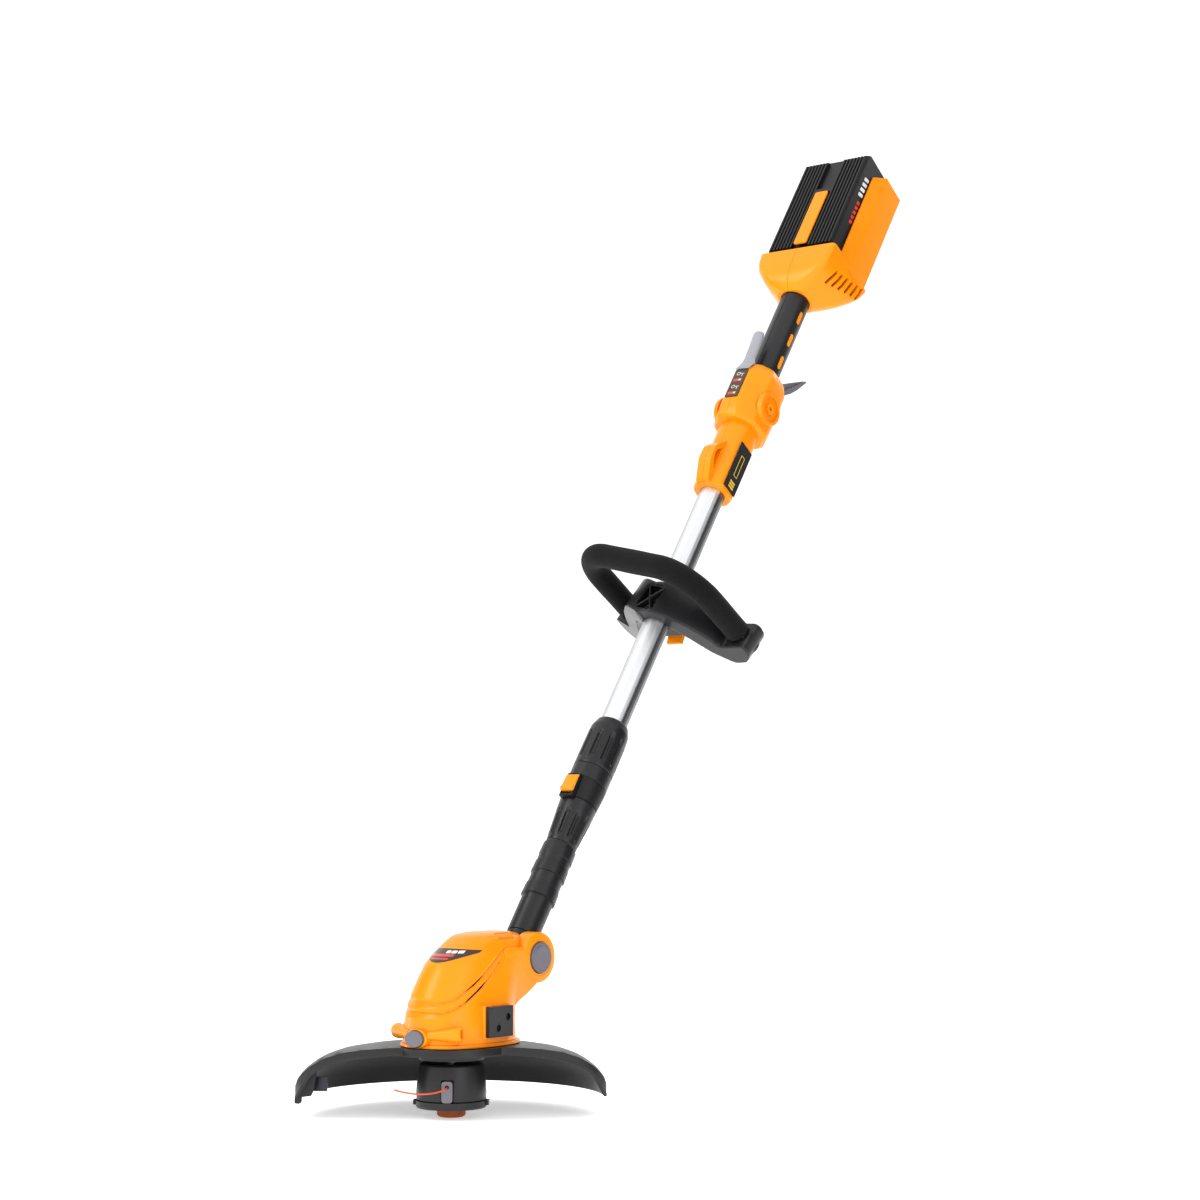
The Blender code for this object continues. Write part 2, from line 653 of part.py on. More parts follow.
def handle_pieces():
    place = {"frame": "handle"}
    swept("handle_bar", loop_path(HANDLE_FOOT - 14.0), 6.0, STEEL, 8, **place)
    swept("foam_grip", loop_path(HANDLE_FOOT + 1.8), FOAM_R, FOAM, 14, **place)
    core = swept("cutter_foam_bore", loop_path(HANDLE_FOOT - 30.0), 6.5, DARK, 8, **place)
    cut(bpy.data.objects["foam_grip"], core)
    front = [(14.0, 27.0), (26.0, 20.0), (44.0, 2.0), (56.0, -15.0), (63.5, -28.0), (65.5, -37.0)]
    rim = [(94.2, -36.6), (94.2, -52.0), (86.0, -63.0), (71.0, -64.0), (52.0, -45.0), (38.0, -22.0), (28.0, -8.0)]
    half = front + rim + [(25.0, -2.0), (-3.0, -2.0), (-3.0, 27.0)]
    outline = rounded([(x, -h) for x, h in half], 5.0, 2)
    bracket = bracket_wing("handle_bracket", outline, 1)
    add(bracket, bracket_wing("cutter_left_wing", outline, -1))
    for name, side in SIDES:
        socket = turned(
            f"cutter_socket_{name}",
            [(13.6, 36.4), (12.6, 58.0)],
            BLACK,
            18,
            at=(side * HANDLE_HALF, 0, 0),
            axis="Y",
            **place,
        )
        add(bracket, socket)
    for name, side in SIDES:
        foot = turned(
            f"cutter_foot_{name}",
            [(6.6, 30.0), (6.6, 50.6)],
            DARK,
            12,
            at=(side * HANDLE_HALF, 0, 0),
            axis="Y",
            **place,
        )
        cut(bracket, foot)
    tunnel = turned("cutter_tunnel", [(BORE_R, 380.0), (BORE_R, 480.0)], DARK, 24)
    throat = block("cutter_throat", (-BORE_R, BORE_R), (0.0, 40.0), (380.0, 480.0), DARK)
    pocket = prism(
        "cutter_rib_pocket", rectangle(-6.0, 16.0, -40.0, -18.5), -31.0, -2.0, DARK, **place
    )
    cut(bracket, tunnel, throat, pocket)
    for name, slope in (("a", 1), ("b", -1)):
        angle = math.atan2(30.0, 22.0) * slope
        turn = Matrix.Rotation(angle, 3, "Y")
        rib = block(f"cutter_rib_{name}", (-18.0, 18.0), (-26.6, -17.0), (-0.9, 0.9), BLACK, axis=turn, at=(5, 0, -16.5), **place)
        add(bracket, rib)
    jaw_outline = rounded([(-17.5, 2.4), (-BORE_R, 2.4), (-BORE_R, 15.0), (BORE_R, 15.0), (BORE_R, 2.4), (17.5, 2.4), (17.0, 27.0), (-17.0, 27.0)], 1.5, 2)
    jaw = prism("clamp_jaw", jaw_outline, 403.0, 440.0, BLACK)
    jaw_bore = turned("cutter_jaw_bore", [(BORE_R, 400.0), (BORE_R, 460.0)], DARK, 24)
    bolt_hole = turned("cutter_bolt_hole", [(2.4, 10.0), (2.4, 40.0)], DARK, 12, at=(0, 0, 424.0), axis="Y")
    head_well = turned("cutter_bolt_head", [(4.0, 10.0), (4.0, 16.8)], DARK, 12, at=(0, 0, 424.0), axis="Y")
    cut(jaw, jaw_bore, bolt_hole, head_well)
    turned("clamp_bolt", [(3.6, 14.4), (3.6, 16.4), (2.1, 16.4), (2.1, 40.5)], STEEL, 12, at=(0, 0, 424.0), axis="Y")
    lever_outline = [(27.6, -6.0), (27.6, 6.0), (33.0, 7.0), (37.0, 4.0), (37.0, -14.0), (38.5, -24.0), (35.0, -25.0), (31.0, -14.0)]
    lever = prism("clamp_lever", rounded(lever_outline, 1.5, 2), -9.0, 9.0, ORANGE, at=(0, 0, 424.0), axis="X")
    lever_hole = turned("cutter_lever_hole", [(2.5, 20.0), (2.5, 45.0)], DARK, 12, at=(0, 0, 424.0), axis="Y")
    cut(lever, lever_hole)


# ---------------------------------------------------------------- switch housing
def facet_section(front, height, half, top, low, back, depth, z, radius=5.0):
    """An eight-sided section: front flat, sides and back flat, in the shaft's frame."""
    points = [
        (-front, -height),
        (front, -height),
        (half, -top),
        (half, -low),
        (back, depth),
        (-back, depth),
        (-half, -low),
        (-half, -top),
    ]
    return at_height(rounded(points, radius, 2), z)


BODY_SECTIONS = [  # front flat, front height, half width, side top, side low, back flat, back depth, z, radius
    (9.0, 18.6, 18.4, 10.0, -9.0, 9.0, 18.6, BODY_Z[0], 5.0),
    (9.5, 20.0, 19.8, 11.5, -10.5, 9.5, 20.0, 574.0, 5.0),
    (9.5, 20.0, 19.8, 11.5, -10.5, 9.5, 20.0, 636.0, 5.0),
    (9.5, 21.5, 21.5, 9.0, -9.0, 9.5, 21.0, 658.4, 7.0),
    (11.5, 27.0, 24.5, 11.0, -12.0, 12.0, 26.0, STEP_Z, 4.0),
    (12.0, 30.0, 27.5, 12.0, -14.0, 13.0, 30.0, 662.5, 4.0),
    (10.0, 33.5, 27.8, 13.0, -15.0, 13.0, 31.5, 680.0, 4.0),
    (9.5, 33.5, 27.8, 13.0, -15.0, 13.0, 31.5, 723.0, 4.0),
    (9.0, 28.5, 25.0, 11.0, -12.0, 12.0, 28.0, 734.0, 4.0),
    (9.0, 21.0, 19.5, 8.5, -8.5, 9.0, 20.5, BODY_Z[1], 4.0),
]
BODY_CAVITY = [
    (8.0, 24.0, 22.0, 9.0, -9.0, 9.0, 24.0, 664.5, 4.0),
    (8.0, 30.5, 25.0, 10.0, -12.0, 11.0, 28.5, 680.0, 4.0),
    (8.0, 30.5, 25.0, 10.0, -12.0, 11.0, 28.5, 721.0, 4.0),
    (7.0, 24.0, 21.5, 9.0, -10.0, 10.0, 24.5, 732.0, 4.0),
]
BOSS_Z = 689.0
LEVER_HINGE = (0.0, -21.0, 735.0)
TRIGGER_HINGE = (0.0, 22.5, 732.0)


def switch_housing(name, side):
    tag = f"cutter_body_{name}"
    shell = from_rings(f"switch_housing_{name}", [facet_section(*s) for s in BODY_SECTIONS], ORANGE)
    hook_points = [(-17.0, 573.0), (-23.5, 573.0), (-33.0, 596.0), (-32.5, 613.0), (-17.0, 634.0)]
    hook = prism(f"{tag}_hook", rounded(hook_points, 2.0, 2), -8.0, 8.0, ORANGE, axis="X")
    eye_points = [(-22.3, 588.0), (-28.8, 600.0), (-28.8, 609.0), (-22.3, 618.0)]
    eye = prism(f"{tag}_eye", rounded(eye_points, 2.0, 2), -20.0, 20.0, DARK, axis="X")
    boss_x = sorted((side * 26.0, side * 31.0))
    boss = [(19.0, boss_x[0]), (18.0, boss_x[1])] if side > 0 else [(18.0, boss_x[0]), (19.0, boss_x[1])]
    ring = turned(f"{tag}_boss", boss, ORANGE, 24, at=(0, -1.5, BOSS_Z), axis="X")
    dish_x = sorted((side * 28.4, side * 35.0))
    dish = tube(f"{tag}_dish", 14.5, 6.5, dish_x[0], dish_x[1], DARK, 20, at=(0, -1.5, BOSS_Z), axis="X")
    screw_x = sorted((side * 24.0, side * 35.0))
    screw = turned(f"{tag}_screw", [(2.2, screw_x[0]), (2.2, screw_x[1])], DARK, 12, at=(0, -1.5, BOSS_Z), axis="X")
    add(shell, hook, ring)
    bore = turned(f"{tag}_bore", [(BORE_R, 560.0), (BORE_R, 666.0)], DARK, 24)
    cavity = from_rings(f"{tag}_cavity", [facet_section(*s) for s in BODY_CAVITY], DARK)
    mouth = turned(f"{tag}_mouth", [(12.5, 725.0), (12.5, 750.0)], DARK, 16)
    trigger_way = block(f"{tag}_trigger_way", (-6.0, 6.0), (18.0, 27.0), (718.0, 745.0), DARK)
    lever_way = block(f"{tag}_lever_way", (-5.0, 5.0), (-38.0, -17.0), (727.0, 740.6), DARK)
    lever_pin = turned(f"{tag}_lever_pin", [(1.8, -11.5), (1.8, 11.5)], DARK, 10, at=LEVER_HINGE, axis="X")
    trigger_pin = turned(f"{tag}_trigger_pin", [(1.8, -11.5), (1.8, 11.5)], DARK, 10, at=TRIGGER_HINGE, axis="X")
    cut(shell, eye, dish, screw, bore, cavity, mouth, trigger_way, lever_way, lever_pin, trigger_pin)
    return keep_side(shell, side, "shaft")


def switch_pieces():
    for name, side in SIDES:
        switch_housing(name, side)
    block("label_panel", (-8.0, 8.0), (-34.6, -33.8), (682.0, 722.0), LABEL, 0.6)
    block("side_strip", (20.1, 20.8), (-11.5, 10.5), (575.0, 635.0), DARK, 0.2)
    block("microswitch", (-4.0, 4.0), (8.0, 20.0), (690.0, 712.0), DARK)
    block("controller_board", (-11.0, 11.0), (-20.5, -18.5), (674.0, 716.0), BOARD)
    arm_points = [(-12.0, 0.4), (-7.0, 3.6), (-5.5, 32.0), (-7.5, 41.0), (-12.0, 43.2), (-17.0, 41.4), (-17.6, 38.0)]
    lever = prism("lock_off_lever", rounded(arm_points, 2.5, 2), -7.0, 7.0, LEVER_GREY, at=LEVER_HINGE, axis="X")
    flange = [(-13.2, -13.0), (-8.4, -0.8), (-4.5, 3.2), (-6.2, 5.2), (-12.5, 1.0), (-15.4, -12.0)]
    plate = prism("cutter_lever_flange", flange, -9.5, 9.5, LEVER_GREY, at=LEVER_HINGE, axis="X")
    stem_points = [(-10.0, -6.0), (-3.0, -6.0), (3.0, -3.0), (3.0, 3.0), (-6.5, 3.0)]
    stem = prism("cutter_lever_stem", stem_points, -4.4, 4.4, LEVER_GREY, at=LEVER_HINGE, axis="X")
    lever_eye = turned("cutter_lever_eye", [(1.8, -8.0), (1.8, 8.0)], DARK, 10, at=LEVER_HINGE, axis="X")
    cut(add(lever, plate, stem), lever_eye)
    turned("lever_pin", [(1.5, -11.0), (1.5, 11.0)], STEEL, 10, at=LEVER_HINGE, axis="X")
    blade_points = [
        (-3.0, -6.0),
        (3.2, -6.0),
        (3.6, 6.0),
        (12.0, 11.5),
        (27.5, 35.0),
        (37.5, 56.0),
        (35.0, 56.4),
        (17.0, 37.5),
        (4.0, 22.0),
        (-3.0, 12.0),
    ]
    blade = prism("trigger", rounded(blade_points, 1.5, 2), -5.4, 5.4, LEVER_GREY, at=TRIGGER_HINGE, axis="X")
    face_points = [(12.0, 13.5), (20.0, 23.0), (27.5, 35.0), (37.5, 56.0), (35.0, 56.4), (23.0, 38.0), (13.0, 24.0), (7.0, 16.0)]
    face = prism("cutter_trigger_face", rounded(face_points, 1.5, 2), -8.0, 8.0, LEVER_GREY, at=TRIGGER_HINGE, axis="X")
    trigger_eye = turned("cutter_trigger_eye", [(1.8, -8.0), (1.8, 8.0)], DARK, 10, at=TRIGGER_HINGE, axis="X")
    cut(add(blade, face), trigger_eye)
    turned("trigger_pin", [(1.5, -11.0), (1.5, 11.0)], STEEL, 10, at=TRIGGER_HINGE, axis="X")


# ---------------------------------------------------------------- rear grip
SLOTS = ((752.0, 771.0), (786.0, 804.5), (820.0, 838.5))


def slot_outline(z_low, z_high, half):
    """A slot with round ends as (y, z) points."""
    points = []
    for centre, start in ((z_high - half, 0.0), (z_low + half, math.pi)):
        for i in range(7):
            t = start + math.pi * i / 6
            points.append((half * math.cos(t), centre + half * math.sin(t)))
    return points


def grip_pieces():
    for name, side in SIDES:
        profile = [
            (GRIP_R - 1.0, GRIP_Z[0]),
            (GRIP_R, GRIP_Z[0] + 1.5),
            (GRIP_R, GRIP_Z[1]),
            (13.6, GRIP_Z[1]),
            (13.6, GRIP_Z[0]),
        ]
        shell = turned(f"rear_grip_{name}", profile, BLACK, 28, hollow=True)
        inlay = block(f"grip_inlay_{name}", sorted((side * 10.8, side * 12.3)), (-5.0, 5.0), (748.0, 842.0), ORANGE)
        for i, (low, high) in enumerate(SLOTS):
            window = sorted((side * 8.0, side * 20.0))
            hole = prism(f"cutter_slot_{name}_{i}", slot_outline(low, high, 3.0), *window, DARK, axis="X")
            cut(shell, hole)
            reach = sorted((side * 12.0, side * 16.5))
            pad = prism(f"cutter_pad_{name}_{i}", slot_outline(low + 0.4, high - 0.4, 2.6), *reach, ORANGE, axis="X")
            add(inlay, pad)
        keep_side(shell, side, "shaft")


# ---------------------------------------------------------------- battery housing
NOSE_SECTIONS = [  # half width, top height, depth below the axis, z, corner radius
    (18.5, 18.5, 18.5, NOSE_Z[0], 14.0),
    (27.0, 24.5, 25.0, 864.0, 12.0),
    (37.0, 29.0, 33.0, 874.0, 11.0),
    (45.5, 31.3, 40.0, 886.0, 9.0),
    (49.5, 31.6, 46.0, 898.0, 7.0),
    (50.5, 31.8, 49.5, NOSE_Z[1], 6.0),
]
NOSE_CAVITY = [
    (15.0, 15.0, 15.0, 862.0, 10.0),
    (24.0, 21.0, 22.0, 868.0, 9.0),
    (34.0, 26.0, 30.0, 877.0, 8.0),
    (42.5, 28.5, 37.0, 888.0, 7.0),
    (46.0, 28.8, 43.0, 898.0, 6.0),
    (46.5, 28.8, 45.0, 907.5, 5.0),
]


def nose_section(half, top, depth, z, radius):
    return at_height(rounded(rectangle(-half, half, -top, depth), radius, 3), z)


def tray_outline():
    """The battery tray across the shaft: a floor and two side walls with sloping tops."""
    half = [(51.0, -7.0), (51.0, -41.0), (43.0, -49.5)]
    inner = [(BAY_HALF, BAY_FLOOR), (BAY_HALF, 9.5), (45.0, 9.5)]
    right = inner + half
    points = right + [(-x, h) for x, h in reversed(right)]
    return [(x, -h) for x, h in points]


def battery_housing(name, side):
    tag = f"cutter_tray_{name}"
    shell = from_rings(f"battery_housing_{name}", [nose_section(*s) for s in NOSE_SECTIONS], ORANGE)
    tray = prism(f"{tag}_tray", tray_outline(), NOSE_Z[1] - 6.0, TRAY_END, ORANGE)
    add(shell, tray)
    cavity = from_rings(f"{tag}_cavity", [nose_section(*s) for s in NOSE_CAVITY], DARK)
    mouth = turned(f"{tag}_mouth", [(GRIP_R + GAP, 850.0), (GRIP_R + GAP, 860.4)], DARK, 28)
    throat = turned(f"{tag}_throat", [(13.0, 855.0), (13.0, 870.0)], DARK, 16)
    window = block(f"{tag}_window", (-20.3, 20.3), (-14.3, 12.3), (900.0, 920.0), DARK)
    slope_points = [(-12.0, 1038.0), (-12.0, 1060.0), (14.0, 1060.0)]
    slope = prism(f"{tag}_slope", slope_points, -60.0, 60.0, DARK, axis="X")
    cut(shell, cavity, mouth, throat, window, slope)
    for i in range(6):
        # The louvres lie on the side where the nose narrows towards the grip.
        low = 874.0 + 3.4 * i
        height = 8.0 - 9.0 * i
        reach = sorted((side * 28.0, side * 60.0))
        louvre = prism(
            f"{tag}_louvre_{i}",
            [(-height, low), (-height + 3.6, low), (-height + 3.6, low + 17.0), (-height, low + 17.0)],
            *reach,
            DARK,
            axis="X",
        )
        cut(shell, louvre)
    return keep_side(shell, side, "shaft", 1300.0)


RIBS = 7
RIB_PITCH = 4.5
CHANNEL_HALF = 10.6


def battery_outline():
    """The battery case across the shaft, with a ribbed top each side of a channel for the release bar."""
    top, groove = BATTERY_TOP, BATTERY_TOP - 2.0
    right = [(0.0, 26.6), (CHANNEL_HALF, 26.6)]
    for i in range(RIBS):
        start = CHANNEL_HALF + RIB_PITCH * i
        right += [(start + 0.2, top - 0.4), (start + 0.6, top), (start + 2.4, top), (start + 2.8, top - 0.4)]
        if i < RIBS - 1:
            right += [(start + 3.1, groove), (start + 4.2, groove)]
    side = [(42.6, 26.5), (42.6, -21.0), (39.5, -21.0)]
    right += side
    cavity = [(39.5, 23.0), (0.0, 23.0)]
    outer = right + cavity[:1]
    points = outer + [(-x, h) for x, h in reversed(outer[1:])]
    return [(x, -h) for x, h in points]


def battery_pieces():
    for name, side in SIDES:
        battery_housing(name, side)
    block("terminal_block", (-19.0, 19.0), (-13.0, 11.0), (890.0, 914.6), DARK)
    low, high = BATTERY_Z
    case = prism("battery_case", battery_outline(), low, high, BLACK)
    end = block("cutter_case_end", (-40.5, 40.5), (-24.0, 20.9), (high - 4.0, high), BLACK)
    foot = block("cutter_case_foot", (-40.5, 40.5), (-24.0, 20.9), (low, low + 3.0), BLACK)
    add(case, end, foot)
    bevel_points = [(-40.0, high - 6.0), (-40.0, high + 5.0), (-18.0, high + 5.0), (-31.5, high - 6.0)]
    bevel = prism("cutter_case_bevel", bevel_points, -60.0, 60.0, DARK, axis="X")
    bridge = block("cutter_bridge", (-CHANNEL_HALF - 0.2, CHANNEL_HALF + 0.2), (-30.4, -24.0), (1003.6, 1010.0), BLACK)
    add(case, bridge)
    socket = block("cutter_socket", (-17.0, 17.0), (-10.0, 8.0), (low - 2.0, low + 6.0), DARK)
    cut(case, bevel, socket)
    base_outline = [(-42.6, 21.3), (42.6, 21.3), (42.6, 26.0), (39.0, 29.6), (-39.0, 29.6), (-42.6, 26.0)]
    prism("battery_base", base_outline, low, high - 2.0, BLACK)
    block("cell_pack", (-37.0, 37.0), (-21.5, 19.5), (low + 7.0, high - 6.0), GREY, 8.0)
    bar_points = rounded([(-8.6, 919.0), (8.6, 919.0), (8.6, 1003.0), (-8.6, 1003.0)], 2.5, 2)
    bar_turn = Matrix(((1, 0, 0), (0, 0, -1), (0, 1, 0)))
    prism("battery_release_bar", bar_points, 29.8, 32.4, ORANGE, axis=bar_turn)


head_pieces()
guard()
line_cutter()
spool_pieces()
cutting_line()
pole_pieces()
handle_pieces()
switch_pieces()
grip_pieces()
battery_pieces()
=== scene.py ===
# %% [markdown]
# # A battery string trimmer, finished for its picture
# The imported model gives every piece its place, in metres. This notebook adds the fine surfaces and the finishes.
# We load that model first.

# %% Load the frame
import json
import math

import bmesh
import bpy
from mathutils import Matrix, Vector
from mathutils.bvhtree import BVHTree

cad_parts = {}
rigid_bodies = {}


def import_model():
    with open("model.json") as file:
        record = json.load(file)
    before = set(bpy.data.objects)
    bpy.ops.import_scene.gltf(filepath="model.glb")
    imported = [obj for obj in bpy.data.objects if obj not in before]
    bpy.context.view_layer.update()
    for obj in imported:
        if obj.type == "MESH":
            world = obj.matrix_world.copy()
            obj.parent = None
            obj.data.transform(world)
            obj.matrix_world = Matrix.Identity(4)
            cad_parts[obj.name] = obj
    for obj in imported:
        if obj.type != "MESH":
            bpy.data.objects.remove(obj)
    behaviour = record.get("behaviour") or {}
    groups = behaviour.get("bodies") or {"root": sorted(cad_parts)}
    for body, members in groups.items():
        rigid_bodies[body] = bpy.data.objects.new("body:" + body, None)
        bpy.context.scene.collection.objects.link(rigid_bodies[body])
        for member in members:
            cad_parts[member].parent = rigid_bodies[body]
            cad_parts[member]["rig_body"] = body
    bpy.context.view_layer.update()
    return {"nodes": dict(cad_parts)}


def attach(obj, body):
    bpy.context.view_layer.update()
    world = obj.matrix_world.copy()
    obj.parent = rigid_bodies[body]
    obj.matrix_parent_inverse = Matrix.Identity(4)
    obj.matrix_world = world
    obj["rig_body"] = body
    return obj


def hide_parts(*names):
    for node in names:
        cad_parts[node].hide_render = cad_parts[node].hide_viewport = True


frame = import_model()
MM = 0.001

# %% [markdown]
# ## Where the camera stands
# The tool leans away from us. We look from in front and well round to its +X side, from a little above its head.
# A long lens keeps the shaft's sides nearly parallel, so we stand about 2.5 m away with a 73 mm lens.

# %% Camera
CAMERA_PLACE = (1.46932, -1.68824, 0.28402)
CAMERA_TURN, CAMERA_RISE = math.radians(37.588), math.radians(-4.7255)
LENS_MM, SENSOR_MM = 73.08, 36.0
toward_camera = Vector(
    (
        math.sin(CAMERA_TURN) * math.cos(CAMERA_RISE),
        -math.cos(CAMERA_TURN) * math.cos(CAMERA_RISE),
        math.sin(CAMERA_RISE),
    )
)
lens = bpy.data.cameras.new("camera")
lens.lens, lens.sensor_width = LENS_MM, SENSOR_MM
lens.clip_start, lens.clip_end = 0.05, 60.0
camera = bpy.data.objects.new("camera", lens)
camera.location = CAMERA_PLACE
camera.rotation_euler = toward_camera.to_track_quat("Z", "Y").to_euler()
bpy.context.scene.collection.objects.link(camera)
bpy.context.scene.camera = camera
print("camera at", [round(v, 3) for v in camera.location])

# %% [markdown]
# ## Signals
# A material is a sum worked out at every point of a surface. Drawn by hand, that is a web of nodes.
# Here a small class wraps a socket, so that `1 - mask` or `cloud * 0.3` adds the Math node for us.
# Everything that isn't plain arithmetic comes from one method, `Finish.node`.


# %% Signal and Finish
class Signal:
    """A number that varies over a surface; arithmetic on it adds Math nodes."""

    def __init__(self, finish, socket):
        self.finish, self.socket = finish, socket

    def sum(self, operation, *values):
        return self.finish.node("ShaderNodeMath", {"operation": operation}, dict(enumerate(values)))

    def __add__(self, other):
        return self.sum("ADD", self, other)

    def __radd__(self, other):
        return self.sum("ADD", other, self)

    def __sub__(self, other):
        return self.sum("SUBTRACT", self, other)

    def __rsub__(self, other):
        return self.sum("SUBTRACT", other, self)

    def __mul__(self, other):
        return self.sum("MULTIPLY", self, other)

    def __rmul__(self, other):
        return self.sum("MULTIPLY", other, self)

    def __pow__(self, other):
        return self.sum("POWER", self, other)

    def __abs__(self):
        return self.sum("ABSOLUTE", self)

    def rise(self, low, high):
        """0 below low, 1 above high, and smooth between."""
        settings = {"interpolation_type": "SMOOTHSTEP"}
        return self.finish.node("ShaderNodeMapRange", settings, {0: self, 1: low, 2: high, 3: 0.0, 4: 1.0})


class Finish:
    """A material being built, around its Principled shader."""

    def __init__(self, name, **constants):
        self.material = bpy.data.materials.new(name)
        self.material.use_nodes = True
        self.tree = self.material.node_tree
        self.shader = self.tree.nodes["Principled BSDF"]
        for socket, value in constants.items():
            self.shader.inputs[socket.replace("_", " ")].default_value = value

    def feed(self, socket, value):
        if isinstance(value, Signal):
            self.tree.links.new(value.socket, socket)
        elif socket.type == "RGBA" and len(value) == 3:
            socket.default_value = (*value, 1.0)
        else:
            socket.default_value = value

    def node(self, kind, settings=None, sockets=None, outlet=0):
        """Adds a node, its settings first, then its sockets, and returns one of its outlets."""
        made = self.tree.nodes.new(kind)
        for setting, value in (settings or {}).items():
            setattr(made, setting, value)
        for key, value in (sockets or {}).items():
            self.feed(made.inputs[key], value)
        return Signal(self, made.outputs[outlet])

    def paint(self, **inputs):
        for socket, value in inputs.items():
            self.feed(self.shader.inputs[socket.replace("_", " ")], value)
        return self.material

    def place(self):
        return self.node("ShaderNodeTexCoord", outlet="Object")

    def stretched(self, scale, turn=(0.0, 0.0, 0.0), offset=(0.0, 0.0, 0.0)):
        """Object coordinates scaled by three factors after a turn."""
        sockets = {"Vector": self.place(), "Location": offset, "Rotation": turn}
        moved = self.node("ShaderNodeMapping", {"vector_type": "TEXTURE"}, sockets)
        return self.node("ShaderNodeVectorMath", {"operation": "MULTIPLY"}, {0: moved, 1: scale})

    def noise(self, scale, detail=3.0, where=None, roughness=0.5):
        sockets = {"Vector": where or self.place(), "Scale": scale, "Detail": detail, "Roughness": roughness}
        return self.node("ShaderNodeTexNoise", None, sockets)

    def cells(self, scale):
        return self.node("ShaderNodeTexVoronoi", None, {"Vector": self.place(), "Scale": scale})

    def waves(self, scale, distortion):
        """Bands across z, a little uneven, like turns of wire or line."""
        sockets = {"Vector": self.place(), "Scale": scale, "Distortion": distortion}
        return self.node("ShaderNodeTexWave", {"bands_direction": "Z"}, sockets)

    def axes(self, vector):
        """The three coordinates of a vector as signals."""
        split = self.node("ShaderNodeSeparateXYZ", None, {0: vector})
        outlets = split.socket.node.outputs
        return [Signal(self, outlets[i]) for i in range(3)]

    def mix(self, mask, first, second):
        return self.node("ShaderNodeMix", {"data_type": "RGBA"}, {0: mask, 6: first, 7: second}, outlet=2)

    def bump(self, height, strength, distance):
        return self.node("ShaderNodeBump", None, {"Strength": strength, "Distance": distance, "Height": height})


def shaded(colour, share):
    """A colour made darker, or lighter, by one factor."""
    return tuple(c * share for c in colour)


print("signals ready")

# %% [markdown]
# ## The shaft's own directions
# Half the tool is built along a shaft that leans 35 degrees. Points there are easier to give along the shaft:
# x across it, -y up and forward from it, z along it from the tilt pivot. One matrix takes them to the world.

# %% Shaft and head frames
LEAN = math.radians(35.0)
PIVOT = Vector((0.0, 87.5, 139.4))
AT_PIVOT = Matrix.Translation(PIVOT)
SHAFT = AT_PIVOT @ Matrix.Rotation(-LEAN, 4, "X")
HEAD = Matrix.Identity(4)
HANDLE_ALONG, HANDLE_YAW = 429.0, math.radians(14.7)
HANDLE = SHAFT @ Matrix.Translation((0, 0, HANDLE_ALONG)) @ Matrix.Rotation(HANDLE_YAW, 4, "Y")
SHAFT_TURN = (-LEAN, 0.0, 0.0)
PIVOT_M = tuple(PIVOT * MM)
AXIS = {
    "Z": Matrix.Identity(4),
    "X": Matrix(((0, 0, 1, 0), (1, 0, 0, 0), (0, 1, 0, 0), (0, 0, 0, 1))),
    "Y": Matrix(((0, 1, 0, 0), (0, 0, 1, 0), (1, 0, 0, 0), (0, 0, 0, 1))),
}
print("shaft points at", [round(v, 3) for v in SHAFT.to_3x3() @ Vector((0, 0, 1))])

# %% [markdown]
# ## Moulded plastics
# Injection-moulded plastic is never one flat colour. Its pigment drifts a little, its mould was spark-eroded to a fine
# grain, and handling polishes some patches. Three noises do that: a slow one for the colour, a middle one for the
# gloss and a very fine one for the grain. One function makes all the plastics, and only its numbers change.


# %% Plastic finishes
def moulded(name, colour, rough, grain=0.15, grain_scale=1600.0, drift=0.06, coat=0.0, dust=0.0, shine=0.5):
    finish = Finish(name, Coat_Weight=coat, Coat_Roughness=0.12, IOR=1.47, Specular_IOR_Level=shine)
    slow = finish.noise(7.0, 2.0)
    patch = finish.noise(38.0, 4.0)
    fine = finish.noise(grain_scale, 2.0)
    light = tuple(min(1.0, c * (1 + drift)) for c in colour)
    base = finish.mix(slow.rise(0.3, 0.7), shaded(colour, 1 - drift), light)
    if dust:
        specks = finish.noise(240.0, 5.0, roughness=0.7).rise(0.62, 0.78)
        base = finish.mix(specks * dust, base, tuple(c * 0.5 + 0.18 for c in colour))
    gloss = (patch - 0.5) * 0.14 + rough
    return finish.paint(Base_Color=base, Roughness=gloss, Normal=finish.bump(fine, grain, 0.0003))


orange = moulded("orange_plastic", (0.93, 0.305, 0.004), 0.3, grain=0.1, coat=0.08, drift=0.05, shine=0.35)
black = moulded("black_plastic", (0.020, 0.020, 0.022), 0.32, 0.3, 1100.0, drift=0.2, dust=0.05)
guard_black = moulded("guard_plastic", (0.022, 0.022, 0.023), 0.38, 0.35, 900.0, drift=0.22, dust=0.1)
dark = moulded("dark_plastic", (0.007, 0.007, 0.008), 0.45, grain=0.3, drift=0.2)
battery_black = moulded("battery_plastic", (0.011, 0.011, 0.012), 0.34, grain=0.25, drift=0.18)
grey = moulded("grey_plastic", (0.17, 0.165, 0.185), 0.42, grain=0.4, grain_scale=700.0, drift=0.08)
lever_grey = moulded("lever_plastic", (0.33, 0.33, 0.37), 0.34, grain=0.12, drift=0.05, coat=0.15)
knob_plastic = moulded("knob_plastic", (0.30, 0.075, 0.012), 0.48, grain=0.25, drift=0.18)
cell_grey = moulded("cell_wrap", (0.12, 0.13, 0.15), 0.4, drift=0.1)
print("plastics made")
